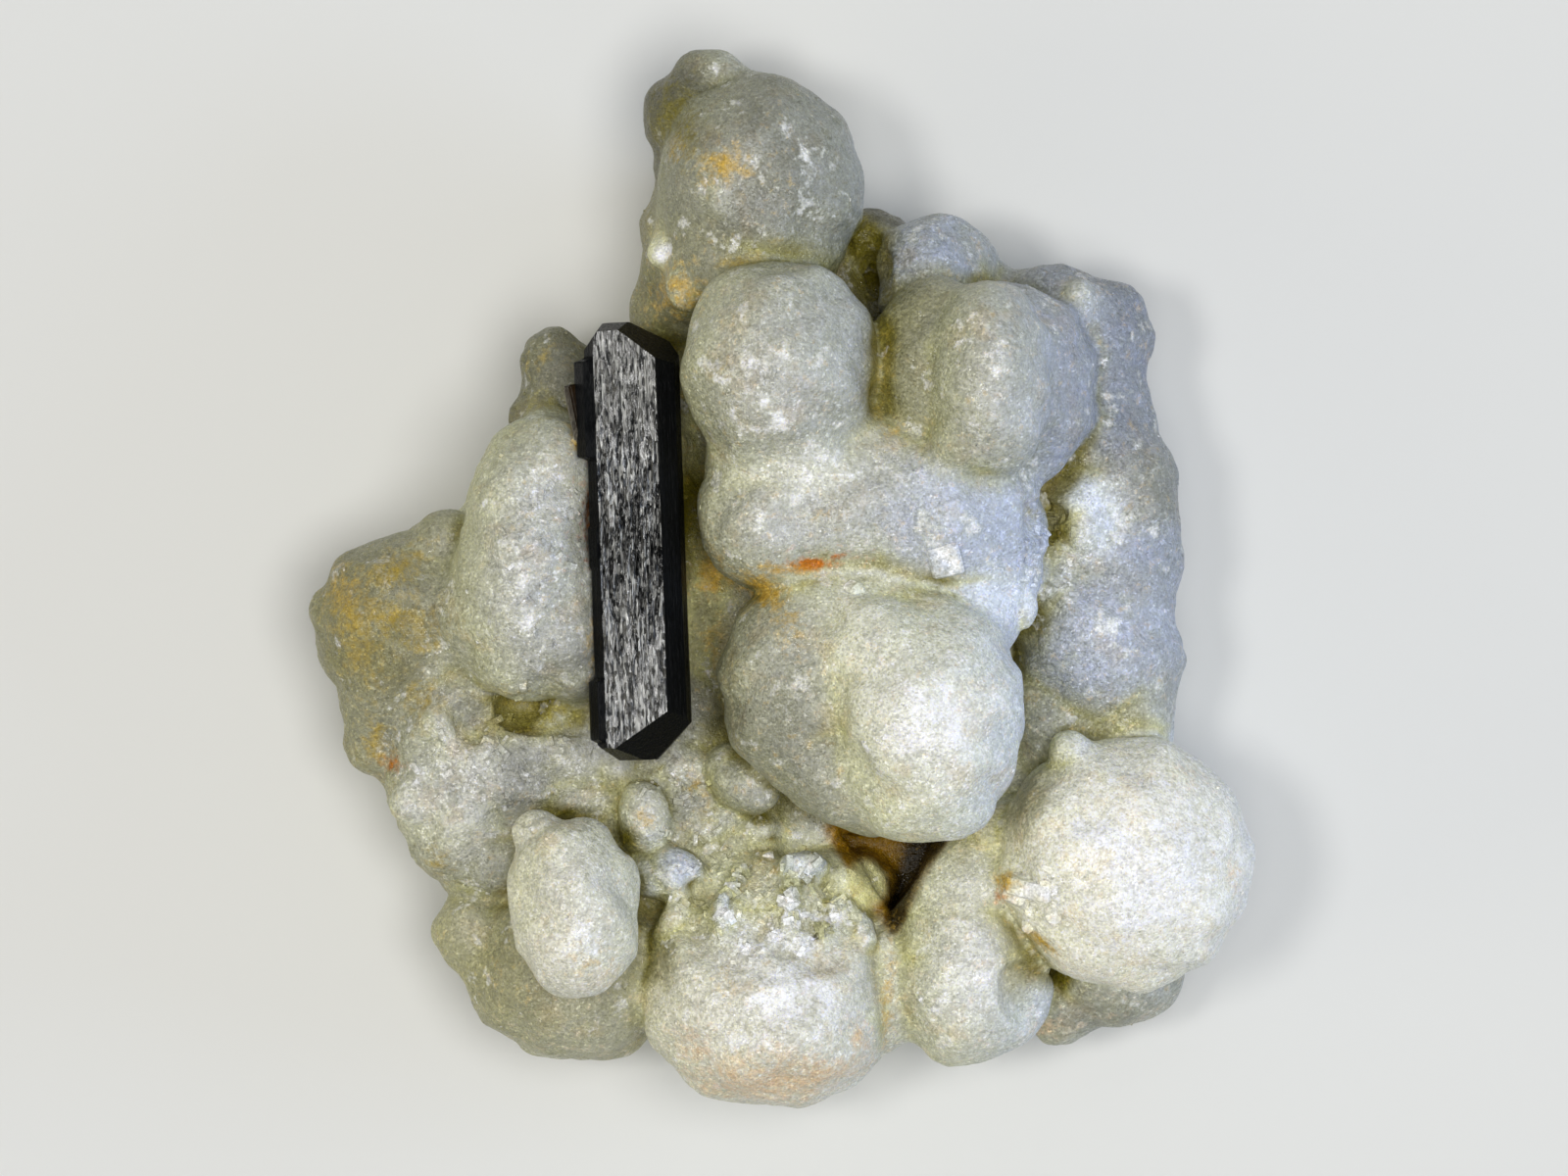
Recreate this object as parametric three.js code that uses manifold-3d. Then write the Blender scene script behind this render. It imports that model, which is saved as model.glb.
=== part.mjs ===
// Prehnite with epidote: a hand specimen of pale green prehnite, grown as one mass of round
// balls, that carries one black epidote crystal with an end at both tips. Millimetres, +Z up.
// The specimen lies on its broken back at z = 0 with its face upwards. Seen from above, +X is
// the right of the face and +Y its top.

import * as THREE from "three";
import { mergeVertices } from "three/addons/utils/BufferGeometryUtils.js";
import Module from "manifold-3d";

const wasm = await Module();
wasm.setup();

// Driving dimensions
const prehniteColour = 0xc9ccb4;
const epidoteColour = 0x1c1f1a;
const crystalGap = 0.3; // left all round the epidote where it sits in the prehnite
const cell = 2.1; // side of the grid that the skin of the prehnite is drawn on
const fillet = 0.3; // how softly one ball runs into the next
const swell = 0.3; // how far the balls depart from true ellipsoids
const swellWave = 7.5; // from one swelling to the next
const table = { side: 200, deep: 60 };
const gridLow = [-18 * cell, -20 * cell, -4 * cell];
const gridHigh = [18 * cell, 20 * cell, 18 * cell];

// Each ball: centre x, y, z, half sizes across, along and up, and its turn about z in degrees.
// Crown: the top of the face
const crownBalls = {
  crown: [-1.5, 28.2, 17, 7.3, 7.9, 7.6, 0],
  crownBack: [-6.5, 33.6, 13, 3.3, 3.6, 4, 0],
  crownBackLow: [-7.2, 30.2, 12, 1.9, 3.0, 3.5, 0],
  crownKnobLeft: [-6.1, 36.0, 13.8, 1.6, 1.6, 1.6, 0],
  crownKnob: [-4.3, 36.0, 14.8, 1.8, 1.7, 1.8, 0],
  crownKnobRight: [-2.5, 35.2, 15.4, 1.9, 1.2, 1.6, -20],
  shoulder: [-6.9, 23.4, 12, 3.1, 6.2, 5, 0],
  shoulderFoot: [-8.2, 19.2, 10.5, 2.8, 2.4, 3.2, -25],
  shoulderKnob: [-8.4, 23.5, 15.6, 1.3, 1.3, 1.4, 0],
  crownNeck: [-3.2, 21.8, 14, 4.6, 4.2, 5.4, 0],
};
// Middle of the face, from the ball below the crown down to the large front ball
const middleBalls = {
  heart: [-0.2, 15.3, 24, 6.9, 7.4, 7.8, 0],
  heartBelow: [0.4, 9.6, 22, 5.4, 4.6, 6, 0],
  twinFront: [14.7, 14.6, 26, 4.7, 7.1, 6.4, 4],
  twinLeft: [11.0, 13.9, 24.4, 4.8, 6.7, 6.4, 6],
  twinBehind: [16.2, 13.9, 19.4, 5.9, 7.4, 6.6, 0],
  barrelLeft: [-0.9, 4.3, 21.6, 4.9, 4.8, 6.2, 12],
  barrelMiddle: [5.4, 6.2, 20.6, 6.6, 6.2, 6.6, 0],
  barrelRight: [11.4, 4.8, 21.2, 6.3, 6.2, 6.7, 0],
  barrelEdge: [14.8, 1.7, 19.2, 2.9, 4.6, 4.4, 8],
  barrelCore: [6.0, 6.5, 12.5, 10.5, 9.5, 10, 0],
  front: [9.6, -10.3, 26.3, 7.5, 8.6, 8.2, -8],
  frontLeft: [2.3, -7.1, 23.2, 6.8, 7.7, 7.2, 10],
  frontLow: [4.4, -12.4, 22.4, 5.6, 4.9, 6, -25],
  frontTop: [5.4, -2.6, 22.2, 6.4, 3.9, 5.4, 0],
  frontCore: [6.6, -8.4, 14.5, 8.0, 7.6, 9, 0],
  frontKnob: [-2.2, -14.4, 17.4, 2.3, 2.0, 2.6, 0],
};
// Right edge of the face
const rightBalls = {
  saddle: [9.9, 22.0, 14.6, 3.9, 3.7, 4.4, 0],
  saddleKnob: [13.3, 22.8, 14.6, 1.6, 1.6, 2.2, 0],
  saddleKnobLow: [15.3, 20.9, 12.8, 1.6, 1.2, 2, 0],
  saddleLink: [6.9, 24.1, 11.6, 2.5, 2.4, 3.6, 0],
  edgeTop: [19.9, 18.9, 14, 3.4, 3.4, 4, 0],
  edgeCorner: [23.0, 18.0, 13.8, 3.0, 3.1, 3.4, 0],
  edgeUpper: [22.3, 13.4, 13.6, 3.4, 4.2, 4, 0],
  edgeWaist: [23.1, 9.9, 13.8, 3.5, 3.3, 4, 0],
  edgeBulge: [24.9, 6.9, 14, 3.3, 3.3, 4, 0],
  edgeInner: [21.6, 5.2, 15, 2.9, 2.8, 3.2, 0],
  edgeMiddle: [25.0, 1.3, 13.6, 3.6, 4.2, 4.2, 0],
  edgePillow: [22.6, -4.2, 14.2, 5.0, 4.9, 5, 0],
  edgeLow: [25.2, -7.2, 12.8, 2.9, 3.7, 4, 0],
  edgeFoot: [24.4, -11.2, 12, 3.0, 3.4, 4, 0],
  innerUpper: [19.6, -1.0, 13.4, 3.2, 3.6, 4, 0],
  innerLow: [19.6, -9.6, 11.6, 3.9, 5.2, 4.6, 0],
  hollowKnob: [19.6, 2.8, 15.2, 1.5, 1.1, 1.5, 25],
  hollowKnobLow: [17.6, 0.6, 16.2, 1.3, 1.2, 1.6, 0],
};
// Bottom of the face, from right to left
const bottomBalls = {
  round: [24.5, -20.0, 18.2, 9.0, 8.9, 8.6, 0],
  roundKnob: [20.5, -12.1, 20.2, 1.5, 1.4, 1.7, 0],
  roundFoot: [22.6, -18.6, 9.5, 7.0, 6.6, 7, 0],
  behindRound: [23.8, -26.9, 10, 4.9, 4.6, 5.2, 0],
  behindKnob: [20.2, -30.0, 9.4, 3.2, 2.9, 3.4, 0],
  behindEdge: [26.0, -28.4, 9, 2.8, 2.6, 3.2, 0],
  pear: [13.4, -28.4, 14.6, 5.8, 5.9, 6.2, 0],
  pearNeck: [13.3, -23.0, 14.6, 4.8, 5.6, 5.4, -8],
  pearTop: [15.2, -18.4, 14.2, 3.6, 3.2, 4, 0],
  bowl: [-1.3, -29.3, 15.4, 8.8, 8.1, 8.6, 0],
  bowlTop: [-1.0, -24.2, 14.8, 7.4, 4.9, 6, 4],
  bowlShoulder: [2.8, -22.9, 14.4, 3.7, 3.6, 4.4, 0],
  bowlKnob: [-4.2, -23.3, 19.8, 1.9, 1.8, 1.9, 0],
  poolKnob: [1.5, -20.0, 17.2, 2.1, 1.8, 2.3, 0],
  bowlLink: [7.6, -28.6, 13.2, 2.0, 4.8, 3.6, 0],
  bowlRight: [3.4, -32.2, 13.6, 4.0, 3.6, 5, 0],
  bowlLeft: [-9.0, -26.2, 11, 3.4, 4.6, 5, 0],
  behindBowl: [-14.6, -27.4, 12, 7.1, 6.9, 7.2, 0],
  behindBowlEdge: [-19.3, -28.2, 11, 3.4, 3.4, 4, 0],
  behindBowlBump: [-21.9, -24.9, 11, 2.9, 2.7, 3.4, 0],
  egg: [-14.6, -23.0, 24.4, 4.6, 6.3, 5.4, 6],
  eggStem: [-14.4, -22.4, 16, 3.8, 4.6, 8, 0],
  eggKnob: [-17.2, -17.4, 23.6, 1.7, 1.3, 1.7, 25],
  pebble: [-9.8, -16.5, 16.8, 1.8, 2.4, 2.2, -10],
  pebbleUpper: [-11.2, -13.9, 15.4, 1.7, 1.7, 2.2, 0],
  doubleKnob: [-7.5, -20.5, 17.2, 1.9, 1.6, 2, 15],
  doubleKnobLeft: [-9.3, -21.1, 16.8, 1.5, 1.4, 2, 0],
};
// Left of the face
const leftBalls = {
  leftBig: [-17.9, 1.5, 18, 5.1, 9.9, 7.2, -3],
  leftBigFlank: [-21.4, -2.4, 15, 3.4, 4.4, 5, 0],
  finger: [-16.0, 14.2, 12.4, 2.9, 3.8, 3.2, 0],
  fingerNeck: [-16.4, 10.4, 12.2, 3.1, 3.4, 3.8, 0],
  farLeft: [-27.3, -2.9, 11.6, 6.3, 6.3, 6.4, 0],
  farLeftLow: [-27.6, -7.6, 11, 4.0, 3.8, 4.6, 0],
  farLeftBump: [-28.6, -11.3, 10.6, 2.6, 2.6, 3.2, 0],
  leftKnob: [-23.9, 2.4, 13, 2.4, 2.4, 3, 0],
  terrace: [-19.8, -13.6, 11.4, 5.0, 4.6, 5.4, 0],
  terraceLeft: [-24.3, -13.5, 10.8, 4.0, 4.1, 5, 0],
  terraceTop: [-23.6, -8.4, 12, 3.9, 3.6, 4.4, 0],
  terraceLow: [-22.3, -17.7, 10.4, 3.8, 3.6, 4.6, 0],
  terraceFoot: [-19.8, -20.0, 10.2, 3.5, 3.2, 4.6, 0],
  terraceInner: [-14.2, -11.6, 11.6, 4.6, 4.0, 5, 0],
};
// The grown-over floor between the balls, and the older mass under all of them
const floorBalls = {
  pool: [-6.6, -17.6, 8.4, 8.4, 6.4, 8, 0],
  poolUpper: [-8.6, -11.4, 9.2, 6.0, 5.4, 7, 0],
  crystalRidge: [-11.0, 3.6, 11.6, 4.4, 12.6, 8.6, -2],
  strip: [-5.6, 1.5, 6, 5.2, 15.0, 8, 0],
  massUpper: [-1.0, 19.0, 6, 8.6, 11.0, 8.4, 0],
  massMiddle: [1.0, -2.0, 6, 12.0, 17.0, 8.6, 0],
  massRight: [13.0, 6.0, 6, 12.0, 15.0, 9.5, 0],
  massLeft: [-16.0, -6.0, 5.6, 10.5, 15.0, 8.4, 0],
  massLow: [-3.0, -21.0, 6, 16.5, 10.0, 8.6, 0],
  massLowRight: [16.0, -16.0, 6, 11.0, 12.0, 8, 0],
};
const balls = { ...crownBalls, ...middleBalls, ...rightBalls, ...bottomBalls, ...leftBalls, ...floorBalls };

// Balls of the edge that stand on an older, smaller ball nearer the table
const edgeBalls = [
  "crown", "shoulder", "saddle", "edgeTop", "edgeUpper", "edgeBulge", "edgeMiddle", "edgePillow",
  "round", "behindRound", "pear", "bowl", "behindBowl", "terraceLow", "terraceLeft", "farLeft",
  "leftBig", "fingerNeck",
];
const olderBall = { share: 0.78, inwards: 0.86, height: 4.6 };

// Small tabular crystals that stand out of the balls: centre, sizes, and turns about x, y, z
const smallCrystals = {
  block: [11.7, 1.6, 27.6, 2.6, 2.9, 2.6, 24, -12, 14],
  chip: [5.1, -0.4, 26.4, 1.1, 1.2, 1.4, 30, 20, 40],
  flake: [17.2, -21.6, 24.2, 3.0, 0.9, 1.6, 18, -32, -12],
  flakeLow: [18.9, -23.4, 24.8, 1.3, 1.5, 1.6, 40, -20, 25],
  hollowBlade: [17.9, 5.6, 16.6, 1.9, 1.5, 1.8, 30, 25, 30],
  hollowBladeLow: [20.2, 0.2, 16.4, 1.6, 1.2, 1.8, -25, 20, 60],
};

// The deep pocket between the front ball, the bowl and the pear: a well with three sides
const pocket = {
  corners: [[3.4, -17.6], [7.9, -24.6], [11.5, -17.9]],
  floor: 8.5,
  roof: 19.4,
  rounding: 0.5,
};

// Epidote: sections across the crystal, in its own frame with its length along y and its
// bright face up. Each strand is a prism from one y to another.
const crystal = { at: [-10.5, 2.9, 22.2], turns: [0, -6, 2] };
const strands = {
  main: {
    section: [
      [-2.1, 2.7], [2.3, 2.8], [3.5, 1.2], [3.6, -0.8],
      [2.2, -3.1], [-1.7, -3.1], [-3.1, -0.9], [-2.9, 1.4],
    ],
    from: -15.5,
    to: 15.5,
  },
  flankTop: {
    section: [[-3.6, 0.9], [-2.4, 1.9], [-1.5, -0.5], [-3.2, -1.6]],
    from: 6.6,
    to: 13.0,
  },
  flankLow: {
    section: [[-3.6, 1.2], [-2.4, 2.1], [-1.5, -0.5], [-3.2, -1.4]],
    from: -14.2,
    to: -9.6,
  },
};
// The faces that end the crystal: a point on each and the way it looks
const tipFaces = [
  { at: [-1.1, -14.3, 2.75], out: [0.46, -0.72, 0.53] },
  { at: [-1.5, -14.6, 2.7], out: [-0.15, -0.96, 0.22] },
  { at: [2.6, -14.0, 0], out: [0.71, -0.7, -0.05] },
  { at: [-2.8, -14.5, 0], out: [-0.64, -0.77, 0.05] },
  { at: [1.1, 13.8, 2.8], out: [0.6, 0.76, 0.25] },
  { at: [-0.7, 14.9, 2.7], out: [-0.05, 0.97, 0.2] },
  { at: [-2.5, 14.1, 1.5], out: [-0.8, 0.58, 0.1] },
  { at: [0, 14.6, -1.6], out: [0.05, 0.82, -0.56] },
];
const sideCrystal = { x: -3.9, y: 9.2, z: 0.9, wide: 1.2, long: 4.0, deep: 1.4, turn: 10 };

const degrees = THREE.MathUtils.degToRad;

// The older ball under one of the edge, smaller and nearer the middle of the specimen
function olderUnder([x, y, , across, along, up, turn]) {
  const { share, inwards, height } = olderBall;
  return [x * inwards, y * inwards, height, across * share, along * share, up * share, turn];
}

// A ball as the values that its field needs
function ballForm([x, y, z, across, along, up, turn]) {
  const reach = Math.max(across, along, up);
  return { x, y, z, across, along, up, reach, cos: Math.cos(degrees(turn)), sin: Math.sin(degrees(turn)) };
}

const grown = [...Object.values(balls), ...edgeBalls.map((name) => olderUnder(balls[name]))].map(ballForm);

// How far a point lies outside a ball, in millimetres, and less than zero inside it
function outsideBall({ x, y, z, across, along, up, cos, sin }, px, py, pz) {
  const u = (cos * (px - x) + sin * (py - y)) / across;
  const v = (cos * (py - y) - sin * (px - x)) / along;
  const w = (pz - z) / up;
  const far = Math.sqrt(u * u + v * v + w * w);
  const slope = Math.sqrt((u / across) ** 2 + (v / along) ** 2 + (w / up) ** 2);
  return (far * (far - 1)) / (slope + 1e-9);
}

// A gentle swelling that runs through the whole mass, so that no ball is a true ellipsoid
function swellAt(x, y, z) {
  const k = (2 * Math.PI) / swellWave;
  const across = Math.sin(k * x + 1.3 * Math.sin(0.6 * k * y));
  const along = Math.cos(k * y + 1.1 * Math.sin(0.7 * k * z));
  return swell * across * along;
}

// The sides of the pocket, each as a point on it and the way that it looks
const pocketSides = pocket.corners.map(([x, y], n, corners) => {
  const [nextX, nextY] = corners[(n + 1) % corners.length];
  const length = Math.hypot(nextX - x, nextY - y);
  return { x, y, outX: (nextY - y) / length, outY: (x - nextX) / length };
});

// How far a point lies outside the pocket, with its corners rounded
function outsidePocket(x, y, z) {
  const { floor, roof, rounding } = pocket;
  const walls = pocketSides.map((side) => (x - side.x) * side.outX + (y - side.y) * side.outY);
  const beyond = [...walls, floor - z, z - roof].map((far) => Math.exp(far / rounding));
  return rounding * Math.log(beyond.reduce((a, b) => a + b));
}

// How far a point lies outside the prehnite. Balls melt into each other over a short fillet.
function outsidePrehnite([x, y, z]) {
  let sum = 1e-30;
  for (const ball of grown) {
    const near = ball.reach + 3;
    if (Math.abs(x - ball.x) > near || Math.abs(y - ball.y) > near || Math.abs(z - ball.z) > near) continue;
    sum += Math.exp(-outsideBall(ball, x, y, z) / fillet);
  }
  return Math.max(-fillet * Math.log(sum), -outsidePocket(x, y, z)) - swellAt(x, y, z);
}

// The values of a field at the corners of a grid of cubes, which are inside the body if they
// are less than zero
function gridOf(field, low, high, side) {
  const count = low.map((from, n) => Math.round((high[n] - from) / side) + 1);
  const at = (i, j, k) => (k * count[1] + j) * count[0] + i;
  const place = (i, j, k) => [low[0] + i * side, low[1] + j * side, low[2] + k * side];
  const values = new Float64Array(count[0] * count[1] * count[2]);
  const cells = [];
  for (let k = 0; k < count[2]; k++) {
    for (let j = 0; j < count[1]; j++) {
      for (let i = 0; i < count[0]; i++) {
        values[at(i, j, k)] = field(place(i, j, k));
        if (i + 1 < count[0] && j + 1 < count[1] && k + 1 < count[2]) cells.push([i, j, k]);
      }
    }
  }
  return { at, place, values, cells };
}

const justInside = -0.05;
const cubeCorners = [0, 1, 2, 3, 4, 5, 6, 7].map((n) => [n & 1, (n >> 1) & 1, n >> 2]);
const cubeFaces = [[0, 1, 2, 3], [4, 5, 6, 7], [0, 1, 4, 5], [2, 3, 6, 7], [0, 2, 4, 6], [1, 3, 5, 7]];

// Fills the corners where the body would touch itself along one edge or at one point
function closePinches({ at, values, cells }) {
  let changed = true;
  while (changed) {
    changed = false;
    for (const [i, j, k] of cells) {
      const corner = cubeCorners.map(([a, b, c]) => at(i + a, j + b, k + c));
      const inside = corner.map((n) => values[n] < 0);
      const total = inside.filter(Boolean).length;
      if (total === 0 || total === 8) continue;
      const crossed = cubeFaces.find(
        ([a, b, c, d]) => inside[a] === inside[d] && inside[b] === inside[c] && inside[a] !== inside[b],
      );
      const opposite = [0, 1, 2, 3].some((n) => inside[n] === inside[7 - n] && inside[n] === (total === 2));
      if (crossed) {
        for (const n of crossed) values[corner[n]] = Math.min(values[corner[n]], justInside);
        changed = true;
      } else if (opposite && (total === 2 || total === 6)) {
        for (const n of corner) values[n] = Math.min(values[n], justInside);
        changed = true;
      }
    }
  }
}

// Fills the hollows that have no way out
function closeHollows({ at, values }) {
  const steps = [at(1, 0, 0), at(0, 1, 0), at(0, 0, 1)].flatMap((step) => [step, -step]);
  const open = new Uint8Array(values.length);
  const waiting = [0];
  while (waiting.length) {
    const here = waiting.pop();
    if (open[here] || !(values[here] >= 0)) continue;
    open[here] = 1;
    for (const step of steps) waiting.push(here + step);
  }
  values.forEach((value, n) => {
    if (!open[n]) values[n] = Math.min(value, justInside);
  });
}

// Where the surface cuts the twelve edges of a cell, as shares of the cell
function cutsOf(corner) {
  const cuts = [];
  cubeCorners.forEach((from, n) => {
    for (const bit of [1, 2, 4]) {
      if (n & bit || corner[n] < 0 === corner[n | bit] < 0) continue;
      const share = corner[n] / (corner[n] - corner[n | bit]);
      cuts.push(from.map((value, axis) => value + share * (cubeCorners[n | bit][axis] - value)));
    }
  });
  return cuts;
}

// The slope of the field at a point, where it has a value
function slopeOf(field, point, value) {
  const probe = 0.05;
  return point.map((_, axis) => {
    const beside = [...point];
    beside[axis] += probe;
    return (field(beside) - value) / probe;
  });
}

// Moves a point along the slope of the field onto the surface, but not out of its cell
function ontoSurface(field, start, cellLow, side) {
  const rounds = 3;
  const margin = 0.1 * side;
  let point = start;
  for (let round = 0; round < rounds; round++) {
    const value = field(point);
    const slope = slopeOf(field, point, value);
    const steepness = slope.reduce((sum, v) => sum + v * v, 1e-9);
    point = point.map((v, n) => {
      const moved = v - (value * slope[n]) / steepness;
      return THREE.MathUtils.clamp(moved, cellLow[n] + margin, cellLow[n] + side - margin);
    });
  }
  return point;
}

// A quad as two triangles, parted along its shorter diagonal
function splitQuad([a, b, c, d], points) {
  const apart = (m, n) => new THREE.Vector3(...points[m]).distanceTo(new THREE.Vector3(...points[n]));
  return apart(a, c) < apart(b, d) ? [a, b, c, a, c, d] : [b, c, d, b, d, a];
}

// The skin of a body that is given as a field: a vertex in each cell that the surface passes
// through, and a quad round each edge of the grid that it cuts
function skin(field, low, high, side) {
  const grid = gridOf(field, low, high, side);
  const { at, place, values, cells } = grid;
  closePinches(grid);
  closeHollows(grid);
  const points = [];
  const pointOf = new Map();
  for (const [i, j, k] of cells) {
    const cuts = cutsOf(cubeCorners.map(([a, b, c]) => values[at(i + a, j + b, k + c)]));
    if (!cuts.length) continue;
    const cellLow = place(i, j, k);
    const mean = [0, 1, 2].map((n) => cuts.reduce((sum, cut) => sum + cut[n], 0) / cuts.length);
    const middle = cellLow.map((from, n) => from + side * mean[n]);
    pointOf.set(at(i, j, k), points.length);
    points.push(ontoSurface(field, middle, cellLow, side));
  }
  const steps = [[1, 0, 0], [0, 1, 0], [0, 0, 1]];
  const triangles = [];
  for (const [i, j, k] of cells) {
    steps.forEach(([a, b, c], axis) => {
      const inside = values[at(i, j, k)] < 0;
      if (inside === values[at(i + a, j + b, k + c)] < 0) return;
      const [p, q] = [steps[(axis + 1) % 3], steps[(axis + 2) % 3]];
      const quad = [[0, 0], [1, 0], [1, 1], [0, 1]].map(([m, n]) => {
        return pointOf.get(at(i - m * p[0] - n * q[0], j - m * p[1] - n * q[1], k - m * p[2] - n * q[2]));
      });
      triangles.push(...splitQuad(inside ? quad : quad.reverse(), points));
    });
  }
  const geometry = new THREE.BufferGeometry();
  geometry.setAttribute("position", new THREE.Float32BufferAttribute(points.flat(), 3));
  geometry.setIndex(triangles);
  return geometry;
}

// A closed three.js geometry, put in its place, as a solid
function solidOf(geometry, place = new THREE.Matrix4()) {
  const placed = geometry.clone().applyMatrix4(place);
  placed.deleteAttribute("normal");
  placed.deleteAttribute("uv");
  const merged = mergeVertices(placed, 1e-4);
  return new wasm.Manifold(
    new wasm.Mesh({
      numProp: 3,
      vertProperties: new Float32Array(merged.attributes.position.array),
      triVerts: new Uint32Array(merged.index.array),
    }),
  );
}

// A solid as a three.js geometry
function geometryOf(solid) {
  const mesh = solid.getMesh();
  const geometry = new THREE.BufferGeometry();
  geometry.setAttribute("position", new THREE.BufferAttribute(Float32Array.from(mesh.vertProperties), 3));
  geometry.setIndex(new THREE.BufferAttribute(Uint32Array.from(mesh.triVerts), 1));
  geometry.computeVertexNormals();
  return geometry;
}

// A matrix from a place, turns about x, y and z in degrees, and sizes
function placement(at, turns = [0, 0, 0], sizes = [1, 1, 1]) {
  const turned = new THREE.Quaternion().setFromEuler(new THREE.Euler(...turns.map(degrees), "ZYX"));
  return new THREE.Matrix4().compose(new THREE.Vector3(...at), turned, new THREE.Vector3(...sizes));
}

// A strand of epidote, grown by spare on every side
function strandGeometry({ section, from, to }, spare) {
  const outline = section.map(([across, up]) => {
    const grow = 1 + (1.15 * spare) / Math.hypot(across, up);
    return new THREE.Vector2(across * grow, up * grow);
  });
  const depth = to - from + 2 * spare;
  const prism = new THREE.ExtrudeGeometry(new THREE.Shape(outline), { depth, bevelEnabled: false });
  prism.rotateX(Math.PI / 2); // the section stands across y, and the prism runs towards -y
  prism.translate(0, to + spare, 0);
  return prism;
}

// The small crystal on the left flank of the epidote, grown by spare on every side
function sideCrystalGeometry(spare) {
  const { x, y, z, wide, long, deep, turn } = sideCrystal;
  const sizes = [wide + 2 * spare, long + 2 * spare, deep + 2 * spare];
  return new THREE.CylinderGeometry(0.5, 0.5, 1, 6).applyMatrix4(placement([x, y, z], [0, 0, turn], sizes));
}

// A large block that begins at one of the faces that end the crystal and lies beyond it
function beyondFaceGeometry({ at, out }, spare) {
  const side = 30;
  const normal = new THREE.Vector3(...out).normalize();
  const turned = new THREE.Quaternion().setFromUnitVectors(new THREE.Vector3(0, 0, 1), normal);
  const middle = new THREE.Vector3(...at).addScaledVector(normal, side / 2 + spare);
  return new THREE.BoxGeometry(side, side, side).applyQuaternion(turned).translate(...middle);
}

// The whole epidote crystal, grown by spare on every side, with its own frame put at place
function epidoteSolid(spare, place) {
  const pieces = [
    ...Object.values(strands).map((strand) => strandGeometry(strand, spare)),
    sideCrystalGeometry(spare),
  ];
  const beyond = tipFaces.map((face) => beyondFaceGeometry(face, spare));
  const whole = pieces.map((piece) => solidOf(piece, place)).reduce((all, solid) => all.add(solid));
  return beyond.map((block) => solidOf(block, place)).reduce((rest, solid) => rest.subtract(solid), whole);
}

// The prehnite: the skin of all its balls, with the small crystals on it, cut flat at the table
// where it was broken off its rock, and with a seat for the epidote
function prehniteSolid() {
  let solid = solidOf(skin(outsidePrehnite, gridLow, gridHigh, cell));
  for (const [x, y, z, wide, long, deep, ...turns] of Object.values(smallCrystals)) {
    solid = solid.add(solidOf(new THREE.BoxGeometry(wide, long, deep), placement([x, y, z], turns)));
  }
  const { side, deep } = table;
  const underTable = new THREE.BoxGeometry(side, side, deep).translate(0, 0, -deep / 2);
  const seat = epidoteSolid(crystalGap, placement(crystal.at, crystal.turns));
  return solid.subtract(solidOf(underTable)).subtract(seat);
}

const prehnite = new THREE.Mesh(
  geometryOf(prehniteSolid()),
  new THREE.MeshStandardMaterial({ color: prehniteColour, roughness: 0.55, metalness: 0 }),
);
prehnite.name = "prehnite_cluster";

const epidote = new THREE.Mesh(
  geometryOf(epidoteSolid(0, new THREE.Matrix4())),
  new THREE.MeshStandardMaterial({ color: epidoteColour, roughness: 0.25, flatShading: true }),
);
epidote.name = "epidote_crystal";
epidote.position.set(...crystal.at);
epidote.rotation.set(...crystal.turns.map(degrees), "ZYX");

const specimen = new THREE.Group();
specimen.add(prehnite, epidote);

export default specimen;
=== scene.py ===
# A prehnite and epidote specimen that lies on its broken back, seen from straight above:
# pale green balls of prehnite grown into one mass, with one black epidote crystal across it.
import math

import bmesh
import bpy
import numpy as np
from mathutils import Euler, Matrix, Vector


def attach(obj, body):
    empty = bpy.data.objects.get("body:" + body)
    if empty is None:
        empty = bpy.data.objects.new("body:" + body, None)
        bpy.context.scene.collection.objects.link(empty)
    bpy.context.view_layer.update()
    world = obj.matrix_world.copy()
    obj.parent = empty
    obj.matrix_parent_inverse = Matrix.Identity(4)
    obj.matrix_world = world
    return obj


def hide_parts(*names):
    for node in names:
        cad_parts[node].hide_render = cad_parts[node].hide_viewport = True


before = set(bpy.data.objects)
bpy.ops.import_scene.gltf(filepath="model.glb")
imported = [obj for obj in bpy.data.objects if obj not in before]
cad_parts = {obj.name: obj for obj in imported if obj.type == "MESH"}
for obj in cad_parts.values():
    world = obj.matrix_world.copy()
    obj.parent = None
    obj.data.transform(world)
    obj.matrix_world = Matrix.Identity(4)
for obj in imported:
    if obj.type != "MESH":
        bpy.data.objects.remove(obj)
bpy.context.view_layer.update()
mm = 0.001  # the shapes below are in millimetres, Blender's units are metres


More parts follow.
